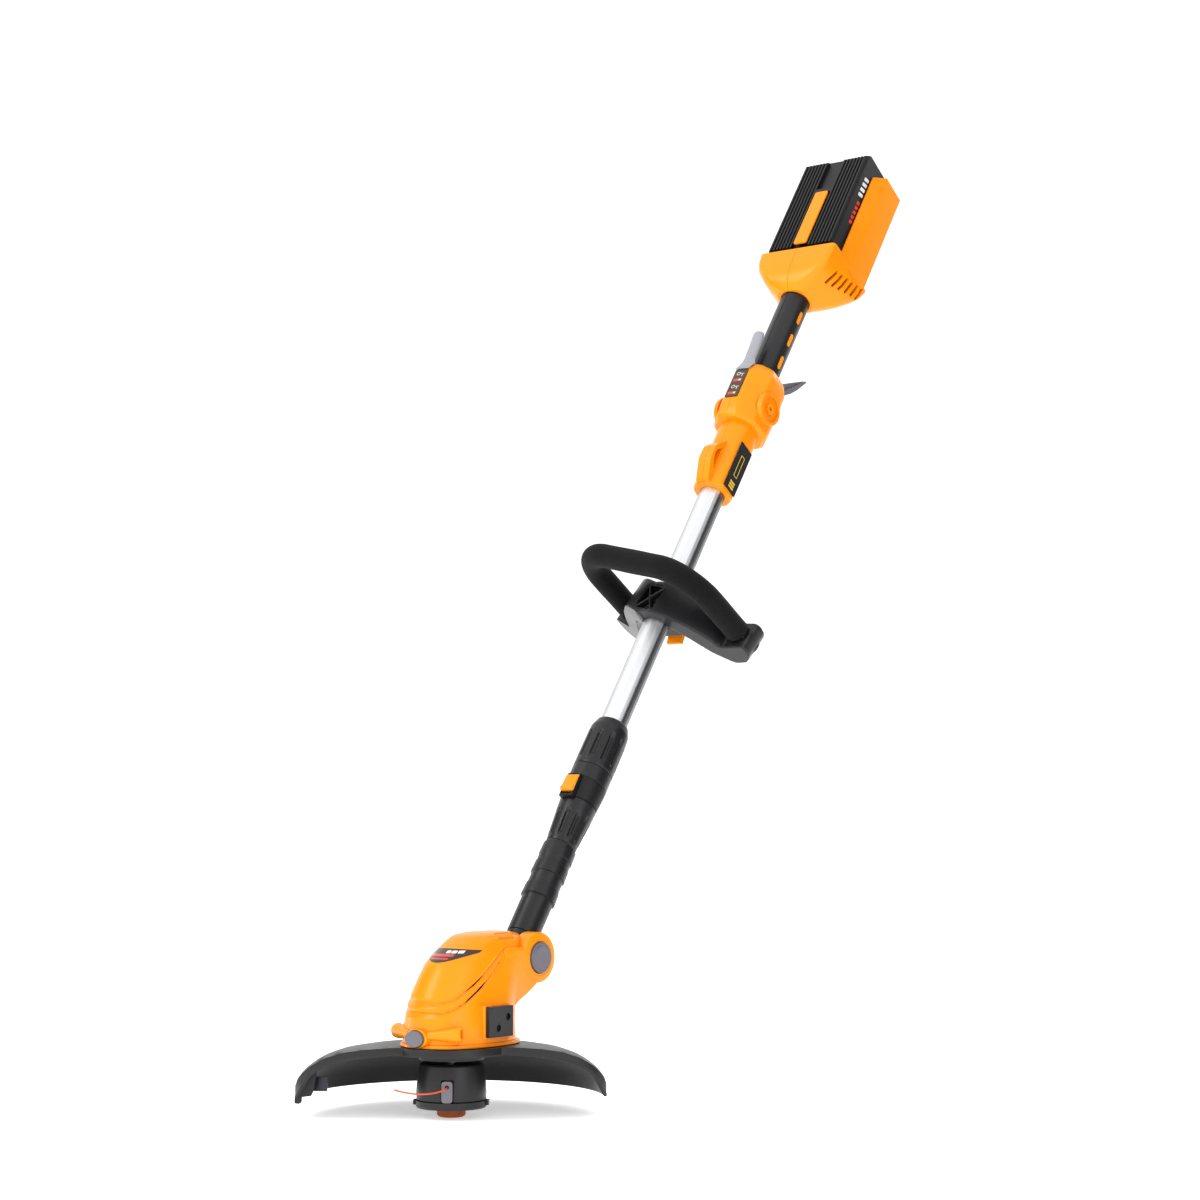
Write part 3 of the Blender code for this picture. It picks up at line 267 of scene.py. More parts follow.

# %% [markdown]
# ## Metals, line and board
# The tube is drawn aluminium with a satin surface: long faint scratches along the shaft. Down one side runs a grey
# strip of painted shade standing for a flute, with two pale lines of painted highlight along it. The scratches are
# noise squeezed hard across the shaft. The strip is a range of angles round the tube. Round its left side, from the
# back to the front-left, the tube is darkened with painted shade, so that it stands out from a pale room. Steel,
# copper windings, the nylon line and the circuit board each get the one detail that names them. In the wound copper
# and the wound line, the dips between turns are darkened with painted shade.


# %% Metal finishes
IN_MM = (1000.0, 1000.0, 1000.0)
# Painted shade for the grey strip down the tube, and a paler grey painted as highlights along its two edges.
PAINTED_STRIP_SHADE, PAINTED_HIGHLIGHT_GREY = (0.19, 0.19, 0.195), (0.42, 0.42, 0.44)


# With flute set, the colour carries painted shade and painted highlights round the tube.
def drawn_metal(name, colour, rough, squeeze, flute=False):
    finish = Finish(name, Metallic=0.85 if flute else 1.0)
    streak = finish.noise(1.0, 3.0, finish.stretched(squeeze, SHAFT_TURN, PIVOT_M))
    base = finish.mix(streak.rise(0.3, 0.75), shaded(colour, 0.93), colour)
    if flute:  # angles round the tube are in radians, from its +X side towards its back
        x, y, _ = finish.axes(finish.stretched(IN_MM, SHAFT_TURN, PIVOT_M))
        around = finish.node("ShaderNodeMath", {"operation": "ARCTAN2"}, {0: y, 1: x})
        # The strip is painted shade standing for a flute, and the two paler lines in it are painted highlights.
        painted_shade_strip = around.rise(-0.33, -0.28) * (1 - around.rise(1.35, 1.4))
        painted_highlight_lines = 1 - abs(abs(around - 0.09) - 0.13).rise(0.02, 0.045)
        # Painted shade: the tube is darkened round its left side, from the back to the front-left.
        painted_side_shade = 1 - around.rise(-2.35, -1.55) + around.rise(1.5, 2.3)
        base = finish.mix(painted_side_shade, base, shaded(colour, 0.55))
        base = finish.mix(painted_shade_strip * 0.96, base, PAINTED_STRIP_SHADE)
        base = finish.mix(painted_shade_strip * painted_highlight_lines * 0.6, base, PAINTED_HIGHLIGHT_GREY)
    gloss = (streak - 0.5) * 0.22 + rough
    return finish.paint(Base_Color=base, Roughness=gloss, Normal=finish.bump(streak, 0.12, 0.0002))


aluminium = drawn_metal("drawn_aluminium", (0.80, 0.81, 0.83), 0.36, (900.0, 900.0, 6.0), flute=True)
steel = drawn_metal("bright_steel", (0.62, 0.62, 0.64), 0.28, (300.0, 300.0, 300.0))
blued = drawn_metal("blued_steel", (0.07, 0.07, 0.08), 0.36, (300.0, 300.0, 300.0))


def copper_winding():
    finish = Finish("copper_winding", Metallic=1.0)
    wire = finish.waves(420.0, 0.4)
    # The dips between turns are darkened: painted shade between the wires, following the bumps.
    base = finish.mix(wire, (0.28, 0.10, 0.04), (0.80, 0.38, 0.16))
    return finish.paint(Base_Color=base, Roughness=wire * -0.2 + 0.45, Normal=finish.bump(wire, 0.6, 0.0004))


def nylon(name, colour, wound=False):
    finish = Finish(name, Subsurface_Weight=0.15, Subsurface_Scale=0.002, IOR=1.53)
    cloud = finish.noise(90.0, 3.0)
    base = finish.mix(cloud.rise(0.35, 0.65), shaded(colour, 0.8), colour)
    if wound:
        turn = finish.waves(98.0, 0.6)
        # The dips between turns of line are darkened to a third: painted shade between the turns.
        base = finish.mix(turn, shaded(colour, 0.3), base)
        return finish.paint(Base_Color=base, Roughness=cloud * 0.2 + 0.3, Normal=finish.bump(turn, 0.8, 0.0008))
    return finish.paint(Base_Color=base, Roughness=cloud * 0.25 + 0.25, Normal=finish.bump(cloud, 0.2, 0.0002))


def circuit_board():
    finish = Finish("circuit_board", Coat_Weight=0.3)
    squares = finish.cells(260.0)
    tracks = squares.rise(0.10, 0.14)
    base = finish.mix(tracks, (0.36, 0.30, 0.10), (0.012, 0.11, 0.045))
    return finish.paint(Base_Color=base, Roughness=tracks * 0.25 + 0.25, Normal=finish.bump(tracks, 0.3, 0.0002))


LINE_RED = (0.80, 0.115, 0.045)
copper = copper_winding()
line_nylon = nylon("cutting_line_nylon", LINE_RED)
wound_nylon = nylon("wound_line_nylon", LINE_RED, wound=True)
board = circuit_board()
print("metals, nylon and board made")

# %% [markdown]
# ## Foam
# The loop handle wears a sleeve of closed-cell foam. Its skin is matt and pitted, with pores from 0.3 mm to 1 mm.
# Voronoi cells of two sizes make the pores, and a fine noise keeps the skin between them alive. The pores and low
# spots are darkened with painted shade.


# %% Foam finish
def closed_cell_foam():
    finish = Finish("closed_cell_foam", Sheen_Weight=0.04, Sheen_Roughness=0.6, Specular_IOR_Level=0.2)
    pores = finish.cells(900.0).rise(0.12, 0.42)
    large = finish.cells(330.0).rise(0.10, 0.30)
    skin = finish.noise(1500.0, 3.0)
    wear = finish.noise(16.0, 3.0)
    height = pores * 0.5 + large * 0.5 + skin * 0.35
    # The pores and the other low spots are darkened: painted shade in them.
    base = finish.mix(height.rise(0.4, 1.2), (0.002, 0.002, 0.002), (0.009, 0.009, 0.010))
    return finish.paint(Base_Color=base, Roughness=wear * 0.2 + 0.74, Normal=finish.bump(height, 0.55, 0.0005))


foam = closed_cell_foam()
print("foam made")

# %% [markdown]
# ## The cutting line
# A cord comes before the pieces round it. Here it is 1.6 mm nylon, stiff enough to stand out of its eyelet and keep
# the curve it had on the reel. The points are the frame's own, joined by the same smooth curve.

# %% Cutting line
LINE_MM = 1.6
LINE_POINTS = [
    (18.0, -26.7, 29.6),
    (20.6, -30.5, 29.3),
    (21.8, -35.0, 28.4),
    (21.2, -40.2, 27.3),
    (18.9, -45.8, 26.4),
    (15.3, -51.5, 25.9),
    (11.0, -57.1, 26.0),
    (6.4, -62.5, 26.8),
    (1.5, -67.8, 28.2),
    (-3.6, -72.8, 30.2),
]


def smooth_route(points, per_span):
    """Points on a Catmull-Rom curve through the given ones."""
    points = [Vector(p) for p in points]
    ends = [points[0], *points, points[-1]]
    made = []
    for a, b, c, d in zip(ends, ends[1:], ends[2:], ends[3:]):
        square, cube = 2 * a - 5 * b + 4 * c - d, 3 * b - a - 3 * c + d
        for k in range(per_span):
            t = k / per_span
            made.append(0.5 * (2 * b + (c - a) * t + square * t**2 + cube * t**3))
    return [*made, points[-1]]


def line_curve():
    curve = bpy.data.curves.new("cutting_line_fine", "CURVE")
    curve.dimensions, curve.bevel_depth, curve.bevel_resolution = "3D", LINE_MM / 2 * MM, 4
    curve.use_fill_caps = True
    route = smooth_route(LINE_POINTS, 4)
    spline = curve.splines.new("POLY")
    spline.points.add(len(route) - 1)
    for point, place in zip(spline.points, route):
        point.co = (*(place * MM), 1.0)
    piece = bpy.data.objects.new("cutting_line_fine", curve)
    piece.data.materials.append(line_nylon)
    bpy.context.scene.collection.objects.link(piece)
    length = sum((b - a).length for a, b in zip(route, route[1:])) * MM
    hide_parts("cutting_line")
    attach(piece, "spool_head")
    return length


print("cutting line", round(line_curve(), 4), "m")

# %% [markdown]
# ## Mesh helpers
# Nearly every shape here is a row of rings: a section, repeated and changed along the way. `skin` joins them,
# and `settle` gives the piece its finish, its smooth shading and the body it rides on. `fine` does both for a piece
# that takes the place of one in the frame.


# %% Helpers for meshes
def settle(piece, body, paint, stands_for=(), slot=None, smooth=38.0):
    bpy.context.scene.collection.objects.link(piece)
    piece.data.materials.clear()
    piece.data.materials.append(paint)
    piece.data.shade_smooth()
    piece.data.set_sharp_from_angle(angle=math.radians(smooth))
    if stands_for:
        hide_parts(*stands_for)
    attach(piece, body)
    return piece


def ring_mesh(name, rings, place=HEAD, axis="Z", loop=False):
    """A mesh in metres from rings of points in millimetres; loop joins the last ring to the first."""
    shape = bmesh.new()
    turn = place @ AXIS[axis]
    loops = [[shape.verts.new((turn @ Vector(p)) * MM) for p in ring] for ring in rings]
    pairs = list(zip(loops, loops[1:])) + ([(loops[-1], loops[0])] if loop else [])
    if not loop:
        shape.faces.new(loops[0])
        shape.faces.new(loops[-1])
    for low, high in pairs:
        for i in range(len(low)):
            j = (i + 1) % len(low)
            shape.faces.new((low[i], low[j], high[j], high[i]))
    bmesh.ops.recalc_face_normals(shape, faces=shape.faces)
    mesh = bpy.data.meshes.new(name)
    shape.to_mesh(mesh)
    shape.free()
    return mesh


def skin(name, rings, body, paint, place=HEAD, axis="Z", loop=False, **more):
    piece = bpy.data.objects.new(name, ring_mesh(name, rings, place, axis, loop))
    return settle(piece, body, paint, **more)


def fine(node, rings, paint, slot, place=HEAD, axis="Z", loop=False, **more):
    """A skin that stands for one of the frame's pieces, and rides on that piece's body."""
    body = frame["nodes"][node]["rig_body"]
    return skin(f"{node}_fine", rings, body, paint, place, axis, loop, stands_for=[node], slot=slot, **more)


def circle(radius, z, count):
    steps = [math.tau * i / count for i in range(count)]
    return [(radius * math.cos(t), radius * math.sin(t), z) for t in steps]


def lathe(profile, count):
    return [circle(max(r, 0.01), z, count) for r, z in profile]


CORNER_SHARE = 0.48  # the most of an edge that a rounded corner takes


def rounded(points, radius, steps=5):
    """A closed outline with each corner eased into a curve."""
    made = []
    for i, corner in enumerate(points):
        corner = Vector(corner)
        before = Vector(points[i - 1]) - corner
        after = Vector(points[(i + 1) % len(points)]) - corner
        start = corner + before.normalized() * min(radius, before.length * CORNER_SHARE)
        end = corner + after.normalized() * min(radius, after.length * CORNER_SHARE)
        for k in range(steps + 1):
            t = k / steps
            made.append(start * (1 - t) ** 2 + corner * 2 * t * (1 - t) + end * t**2)
    return [(p.x, p.y) for p in made]


def pillow(outline, z_low, z_high, ease=0.5):
    """A prism's rings with both ends eased inwards, like a moulded key or label."""
    middle = sum((Vector(p) for p in outline), Vector((0, 0))) / len(outline)

    def shrunk(by, z):
        made = []
        for p in outline:
            arm = Vector(p) - middle
            made.append((*(middle + arm * max(0.0, 1 - by / max(arm.length, 0.01))), z))
        return made

    rings = [shrunk(ease, z_low), shrunk(0, z_low + ease), shrunk(0, z_high - ease)]
    return rings + [shrunk(ease * 0.3, z_high - ease * 0.3), shrunk(ease, z_high)]


def easing(value, low, high):
    share = min(1.0, max(0.0, (value - low) / (high - low)))
    return share * share * (3 - 2 * share)


print("mesh helpers ready")

# %% [markdown]
# ## Softened edges
# A moulded edge has a radius of about half a millimetre, and that radius is what catches the light.
# The frame's pieces have sharp edges, so each visible one is copied, its flat faces are joined up again, and a
# Bevel rounds what is left. The copy then stands for the frame's piece. The handle's bracket is full of inside
# corners, which a Bevel leaves sharp, so it is rebuilt on a fine grid and smoothed instead.


# %% Soften the frame's pieces
EDGE_ANGLE = math.radians(32.0)
SAME_POINT, SAME_PLANE = 2e-6, math.radians(0.6)


def soften(node, paint, width, segments):
    source = frame["nodes"][node]
    mesh = source.data.copy()
    shape = bmesh.new()
    shape.from_mesh(mesh)
    bmesh.ops.remove_doubles(shape, verts=shape.verts, dist=SAME_POINT)
    bmesh.ops.dissolve_limit(shape, angle_limit=SAME_PLANE, verts=shape.verts, edges=shape.edges)
    for face in shape.faces:
        face.smooth = True
    shape.to_mesh(mesh)
    shape.free()
    piece = bpy.data.objects.new(f"{node}_moulded", mesh)
    settle(piece, source["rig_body"], paint, [node], smooth=40.0)
    bevel = piece.modifiers.new("edge", "BEVEL")
    bevel.width, bevel.segments = width * MM, segments
    bevel.limit_method, bevel.angle_limit = "ANGLE", EDGE_ANGLE
    bevel.use_clamp_overlap = True
    bevel.harden_normals = False
    evened = piece.modifiers.new("evened", "WEIGHTED_NORMAL")
    evened.keep_sharp = False
    evened.weight = 60
    return piece


SOFTENED = {  # finish, edge radius in mm, segments
    "switch_housing_left": (orange, 1.3, 3),
    "switch_housing_right": (orange, 1.3, 3),
    "battery_housing_left": (orange, 1.6, 3),
    "battery_housing_right": (orange, 1.6, 3),
    "battery_case": (battery_black, 0.35, 2),
    "battery_base": (battery_black, 0.8, 2),
    "battery_release_bar": (orange, 0.8, 3),
    "rear_grip_left": (black, 0.5, 2),
    "rear_grip_right": (black, 0.5, 2),
    "grip_inlay_left": (orange, 0.4, 2),
    "grip_inlay_right": (orange, 0.4, 2),
    "clamp_jaw": (black, 0.8, 2),
    "clamp_lever": (orange, 1.0, 3),
    "trigger": (grey, 1.2, 3),
    "knuckle_hub": (black, 0.8, 2),
    "lower_sleeve": (black, 0.5, 2),
    "rotation_housing": (dark, 0.7, 2),
    "collar_base": (black, 0.6, 2),
    "lock_block": (black, 0.7, 2),
    "spool_housing": (black, 0.7, 2),
    "spool_cover": (black, 0.6, 2),
    "line_eyelet": (grey, 0.4, 2),
    "bump_knob": (knob_plastic, 1.2, 3),
    "front_button": (grey, 1.0, 3),
    "lock_screw_upper": (dark, 0.2, 2),
    "lock_screw_lower": (dark, 0.2, 2),
    "line_cutter": (blued, 0.15, 1),
}
for node, (paint, width, segments) in SOFTENED.items():
    soften(node, paint, width, segments)


def filleted(node, paint, voxel, rounds):
    """A copy whose inside corners are filled and outside corners rounded, as a mould leaves them."""
    source = frame["nodes"][node]
    piece = bpy.data.objects.new(f"{node}_filleted", source.data.copy())
    bpy.context.scene.collection.objects.link(piece)
    grid = piece.modifiers.new("grid", "REMESH")
    grid.mode, grid.voxel_size = "VOXEL", voxel * MM
    ease = piece.modifiers.new("ease", "SMOOTH")
    ease.factor, ease.iterations = 0.5, rounds
    bpy.context.view_layer.update()
    graph = bpy.context.evaluated_depsgraph_get()
    mesh = bpy.data.meshes.new_from_object(piece.evaluated_get(graph))
    piece.modifiers.clear()
    piece.data = mesh
    bpy.context.scene.collection.objects.unlink(piece)
    return settle(piece, source["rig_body"], paint, [node], smooth=75.0)


filleted("handle_bracket", black, voxel=0.8, rounds=14)
print(len(SOFTENED) + 1, "pieces softened")

# %% [markdown]
# ## Pieces that stay as they are
# Inner pieces, and the plain tube, already have the right shape. They only take a finish in their material slot.

# %% Finish the remaining pieces
PLAIN = {
    aluminium: ["pole_tube"],
    steel: [
        *("motor_can", "upper_bearing", "lower_bearing", "spindle", "bump_spring"),
        *("pivot_pin", "clamp_bolt", "handle_bar", "lever_pin", "trigger_pin"),
    ],
    copper: ["motor_rotor"],
    dark: ["clamp_collet", "line_reel", "microswitch", "terminal_block", "cable_loom"],
    wound_nylon: ["wound_line"],
    cell_grey: ["cell_pack"],
    board: ["controller_board"],
}
for paint, nodes in PLAIN.items():
    for node in nodes:
        mesh = frame["nodes"][node].data
        mesh.materials.clear()
        mesh.materials.append(paint)
print(sum(len(nodes) for nodes in PLAIN.values()), "inner pieces finished")

# %% [markdown]
# ## The motor housing
# The big orange shell is the tool's face: an egg standing on a flange, two long grooves that sweep down from the
# tilt joint and round the front, and an ear each side for the joint. We loft it from rounded sections, about 1.3 mm
# apart so that the grooves stay crisp, and press the grooves in by moving each ring's points inwards.
# Ears, collar and wire sockets are joined on with a Boolean union, which is how a mould adds them too.

# %% Housing sections
HOUSING = [  # half width, front y, back y, height, squareness
    (42.5, -45.5, 66.0, 68.0, 2.5),
    (42.3, -45.3, 66.0, 76.0, 2.45),
    (42.0, -45.0, 66.0, 85.0, 2.4),
    (40.0, -43.0, 70.0, 100.0, 2.3),
    (37.5, -38.5, 79.0, 113.0, 2.2),
    (34.5, -31.0, 85.0, 127.0, 2.2),
    (32.3, -22.0, 86.0, 139.0, 2.2),
    (28.5, -7.0, 86.0, 150.0, 2.3),
    (26.0, 4.0, 84.0, 157.0, 2.4),
    (23.0, 13.0, 82.0, 161.5, 2.4),
    (16.0, 26.0, 76.0, 164.0, 2.4),
]
# Reach along the side, height.
UPPER_GROOVE = [(-40.0, 104.5), (-26.0, 103.5), (-12.0, 103.8), (2.0, 107.0)]
UPPER_GROOVE += [(21.5, 121.0), (35.0, 134.0), (48.0, 149.0), (70.0, 172.0)]
LOWER_GROOVE = [(-40.0, 94.5), (-26.0, 94.0), (-12.0, 94.6), (0.0, 97.5)]
LOWER_GROOVE += [(12.5, 104.5), (30.5, 120.0), (42.0, 134.0), (70.0, 168.0)]
GROOVE_DEPTH, GROOVE_HALF = 2.3, 1.8


def along_line(points, value):
    """Height of a broken line at a value, eased by averaging near its corners."""
    total = 0.0
    for shift in (-4.0, -2.0, 0.0, 2.0, 4.0):
        v = value + shift
        for (x0, y0), (x1, y1) in zip(points, points[1:]):
            if v <= x1 or (x1, y1) == points[-1]:
                total += y0 + (y1 - y0) * (max(v, x0) - x0) / (x1 - x0)
                break
    return total / 5


def egg(half, front, back, z, power, count=168):
    middle, reach = (front + back) / 2, (back - front) / 2
    ring = []
    for i in range(count):
        c, s = math.cos(math.tau * i / count), math.sin(math.tau * i / count)
        x = half * math.copysign(abs(c) ** (2 / power), c)
        ring.append(Vector((x, middle + reach * math.copysign(abs(s) ** (2 / power), s), z)))
    return ring


def bell(value, half):
    return math.exp(-((value / half) ** 2))


def pressed(ring):
    """A ring with the grooves and the step under the brow pressed in."""
    centre = sum(ring, Vector()) / len(ring)
    made = []
    for p in ring:
        reach = abs(p.x) * 0.755 + p.y * 0.656
        fade = 1 - easing(reach, 44.0, 52.0)
        upper = p.z - along_line(UPPER_GROOVE, reach)
        lower = p.z - along_line(LOWER_GROOVE, reach)
        depth = GROOVE_DEPTH * bell(upper, GROOVE_HALF) + GROOVE_DEPTH * bell(lower, GROOVE_HALF)
        depth += 1.1 * (1 - easing(upper, -2.0, 1.5)) - 0.5 * bell(upper + 5.0, 2.6)
        out = Vector((p.x - centre.x, p.y - centre.y, 0.0)).normalized()
        made.append(p - out * depth * fade)
    return made


def housing_rings():
    rings = []
    steps = smooth_route([(a, b, c) for a, b, c, _, _ in HOUSING], 9)
    heights = smooth_route([(z, power, 0.0) for _, _, _, z, power in HOUSING], 9)
    for (half, front, back), (z, power, _) in zip(steps, heights):
        rings.append(pressed(egg(half, front, back, z, power)))
    top = rings[-1]
    centre = sum(top, Vector()) / len(top)
    for share, lift in ((0.8, 0.35), (0.5, 0.6), (0.2, 0.7)):
        rings.append([centre + (p - centre) * share + Vector((0, 0, lift)) for p in top])
    return rings


egg_rings = housing_rings()
print(len(egg_rings), "rings of", len(egg_rings[0]), "points")

# %% Join the housing's features
EAR_IN, EAR_OUT, EAR_R = 16.4, 32.5, 23.5
BUTTON_Z = 73.0


def join(target, other, operation="UNION"):
    """Applies one Boolean at once and throws the helper away."""
    step = target.modifiers.new("join", "BOOLEAN")
    step.operation, step.solver, step.object = operation, "EXACT", other
    bpy.context.view_layer.update()
    graph = bpy.context.evaluated_depsgraph_get()
    mesh = bpy.data.meshes.new_from_object(target.evaluated_get(graph))
    target.modifiers.clear()
    target.data = mesh
    bpy.data.objects.remove(other)
    return target


def helper(rings, axis="Z", place=HEAD):
    piece = bpy.data.objects.new("helper", ring_mesh("helper", rings, place, axis))
    bpy.context.scene.collection.objects.link(piece)
    return piece


def cut(target, rings, axis="Z", place=HEAD):
    return join(target, helper(rings, axis, place), "DIFFERENCE")


def oval(half_x, half_z, y, count=48):
    steps = [math.tau * i / count for i in range(count)]
    return [(BUTTON_Z + half_z * math.cos(t), half_x * math.sin(t), y) for t in steps]


def aim(direction, at):
    turn = Vector((0, 0, 1)).rotation_difference(Vector(direction))
    return Matrix.Translation(at) @ turn.to_matrix().to_4x4()


def box_rings(x, y, z, radius=0.0):
    outline = [(x[0], y[0]), (x[1], y[0]), (x[1], y[1]), (x[0], y[1])]
    outline = rounded(outline, radius, 3) if radius else outline
    return [[(*p, z[0]) for p in outline], [(*p, z[1]) for p in outline]]


WEB = [(38.0, 84.0), (57.0, 100.0), (73.0, 107.5), (88.0, 117.0), (88.0, 150.0), (38.0, 150.0)]
FLANGE = [  # half width, front y, back y, height
    (43.2, -46.4, 71.2, 64.3),
    (43.6, -46.8, 71.6, 64.8),
    (43.6, -46.8, 71.6, 66.6),
    (43.2, -46.4, 71.2, 67.3),
    (42.0, -45.0, 65.4, 67.9),
]
CAVITY = [
    (39.0, -42.0, 58.0, 67.5, 2.4),
    (36.5, -39.5, 58.0, 100.0, 2.3),
    (31.0, -27.5, 58.0, 127.0, 2.2),
    (18.0, 8.0, 50.0, 153.0, 2.2),
]


def add_side(shell, side):
    """An ear with its ring, the web under it, and a tapered socket for the guard's wire."""
    ear = [(EAR_R, EAR_IN), (EAR_R, 29.6), (EAR_R - 0.6, 31.3), (EAR_R - 2.2, 32.4), (17.4, EAR_OUT)]
    ear += [(16.6, 31.9), (15.8, 31.9), (15.2, 32.3), (10.0, 32.3)]
    join(shell, helper(lathe([(r, x * side) for r, x in ear], 72), "X", AT_PIVOT))
    near, far = sorted((16.8 * side, 31.4 * side))
    join(shell, helper(pillow(rounded(WEB, 6.0), near, far, 2.5), "X"))
    socket = aim((side * 28.0, 15.0, 1.5), (side * 11.0, -45.0, 76.0))
    join(shell, helper(lathe([(3.5, 0.0), (6.6, 24.0), (6.8, 26.0), (6.8, 30.4), (6.2, 31.0)], 36), "Z", socket))
    cut(shell, lathe([(4.6, 17.0), (4.6, 40.0)], 28), "Z", socket)


def motor_housing():
    shell = bpy.data.objects.new("motor_housing", ring_mesh("motor_housing", egg_rings))
    bpy.context.scene.collection.objects.link(shell)
    join(shell, helper([egg(*section, 2.5, 96) for section in FLANGE]))
    for side in (1, -1):
        add_side(shell, side)
    # The front button's boss and the pad behind the lock block.
    join(shell, helper([oval(12.0, 7.6, -49.5), oval(13.0, 8.6, -48.5), oval(13.0, 8.6, -38.0)], "Y"))
    join(shell, helper(box_rings((32.0, 42.9), (-4.5, 31.5), (71.5, 101.5), 2.0)))
    # The hollow for the motor, the gap for the knuckle, and holes for the button, the spindle and the pivot pin.
    cut(shell, [egg(*section, 48) for section in CAVITY])
    cut(shell, box_rings((-16.2, 16.2), (66.0, 125.0), (118.0, 190.0)))
    cut(shell, [oval(10.9, 7.9, -60.0), oval(10.9, 7.9, -36.0)], "Y")
    cut(shell, lathe([(5.0, 55.0), (5.0, 80.0)], 32))
    cut(shell, lathe([(4.3, -25.0), (4.3, 25.0)], 32), "X", AT_PIVOT)
    for side in (1, -1):
        cut(shell, lathe([(15.0, 24.0 * side), (15.0, 40.0 * side)], 64), "X", AT_PIVOT)
        for i in range(2):
            middle = side * (19.0 + 5.2 * i)
            cut(shell, box_rings((middle - 1.2, middle + 1.2), (36.0, 58.0), (158.0, 170.0), 1.1))
    bpy.context.scene.collection.objects.unlink(shell)
    stands_for = ["motor_housing_left", "motor_housing_right"]
    return settle(shell, "head", orange, stands_for, "orange_plastic", smooth=34.0)


housing = motor_housing()
print("housing has", len(housing.data.polygons), "faces")

# %% [markdown]
# ## The guard
# The guard is one thin dished wall. Its edge follows a rule: a round sweep over half a turn, then a quick ease in to a
# short collar round the spool. We cut its section every degree and a half, and bead its lower lip. A wall and a foot
# close the leading end, where the line cutter sits, and seven low ribs stiffen the dish from below.

# %% Guard
GUARD_R, GUARD_LIP_R, GUARD_WALL = 140.7, 52.0, 2.6
GUARD_MIDDLE, GUARD_HALF, GUARD_EASE = math.radians(-41.0), math.radians(91.0), math.radians(32.0)
GUARD_BORE, GUARD_LOW = 12.0, 17.0
GUARD_PROFILE = [(GUARD_BORE, 63.9), (62.0, 63.9), (85.0, 62.3), (103.0, 59.3), (118.0, 53.6)]
GUARD_PROFILE += [(129.0, 46.0), (135.0, 40.0), (139.5, 33.5), (141.5, 26.0)]
GUARD_SHARES = [0.0, 0.15, 0.3, 0.4, 0.5, 0.57, 0.63, 0.69, 0.75, 0.8, 0.85, 0.885, 0.92, 0.945, 0.965, 0.985, 1.0]


def straight(points, value):
    """Height of a broken line at a value."""
    for (x0, y0), (x1, y1) in zip(points, points[1:]):
        if value <= x1:
            return y0 + (y1 - y0) * (value - x0) / (x1 - x0)
    return points[-1][1]


def guard_edge(turn):
    """The edge's radius and lowest height at an angle from the guard's middle."""
    past = (abs(turn) - GUARD_HALF) / GUARD_EASE
    if past <= 0:
        return GUARD_R, GUARD_LOW
    share = min(1.0, past)
    radius = GUARD_R + (GUARD_LIP_R - GUARD_R) * (share * share * (3 - 2 * share)) ** 0.8
    return radius, GUARD_LOW + (straight(GUARD_PROFILE, radius) - 24.0) * min(1.0, past * 6)


def guard_section(turn):
    """The wall's closed outline at one angle: over the top, round the lip and back underneath."""
    radius, low = guard_edge(turn)
    over = []
    for share in GUARD_SHARES:
        reach = GUARD_BORE + (radius - GUARD_BORE) * share
        over.append((reach, straight(GUARD_PROFILE, reach)))
    edge = over[-1][1]
    over = over[:-1] + [(radius - 0.35, edge + 0.15), (radius, edge - 0.5)]
    over += [(radius, low + 3.4), (radius + 0.38, low + 2.4), (radius + 0.38, low + 0.6), (radius - 0.1, low)]
    under = [(radius - 2.2, low), (radius - 2.6, low + 0.6), (radius - 2.6, edge - 1.6)]
    for reach, height in reversed(over[:-6]):
        under.append((reach - 0.8 * GUARD_WALL * easing(reach, 90.0, 141.0), height - GUARD_WALL))
    return over + under


def turned_point(angle, reach, height):
    return (math.sin(angle) * reach, math.cos(angle) * reach, height)


def guard_rings(step=1.5):
    made = []
    for i in range(round(360 / step)):
        turn = math.radians(i * step - 180.0)
        made.append([turned_point(GUARD_MIDDLE + turn, *p) for p in guard_section(turn)])
    return made


fine("guard", guard_rings(), guard_black, "black_plastic", loop=True, smooth=32.0)


def tip_block(name, start, sweep, corners, ease):
    """A block that follows the guard round for a few millimetres; its corners are reach and height."""
    outline = rounded(corners, ease, 3)
    rings = [[turned_point(start + sweep * k / 4, *p) for p in outline] for k in range(5)]
    return skin(name, rings, "head", guard_black, slot="black_plastic")


left_tip = GUARD_MIDDLE - GUARD_HALF
TIP_WALL = [(120.0, 47.5), (124.0, 24.0), (126.0, 19.5), (138.6, 18.0), (138.8, 31.0), (134.5, 38.0), (128.5, 43.5)]
TIP_FOOT = [(134.5, 22.0), (134.5, 14.0), (137.0, 12.5), (141.0, 13.0), (141.0, 17.0), (139.0, 22.0)]
RIB = [(56.0, 52.5), (88.0, 56.0), (88.0, 60.0), (56.0, 62.0)]
tip_block("guard_end_wall", left_tip - 0.002, 0.02, TIP_WALL, 1.0)
tip_block("guard_foot", left_tip - 0.004, 0.03, TIP_FOOT, 1.0)
for k in range(7):
    angle = GUARD_MIDDLE + math.radians(-78.0 + 26.0 * k)
    tip_block(f"guard_rib_{k}", angle - 0.008, 0.016, RIB, 0.6)
print("guard skinned, with its end closed and its ribs in")

# %% [markdown]
# ## Tilt button
# The grey tilt button has a raised, slightly hollow face and a ring round it, as a thumb needs. It is a turned shape,
# so one profile does it all: radius, and distance out from the tool's middle.

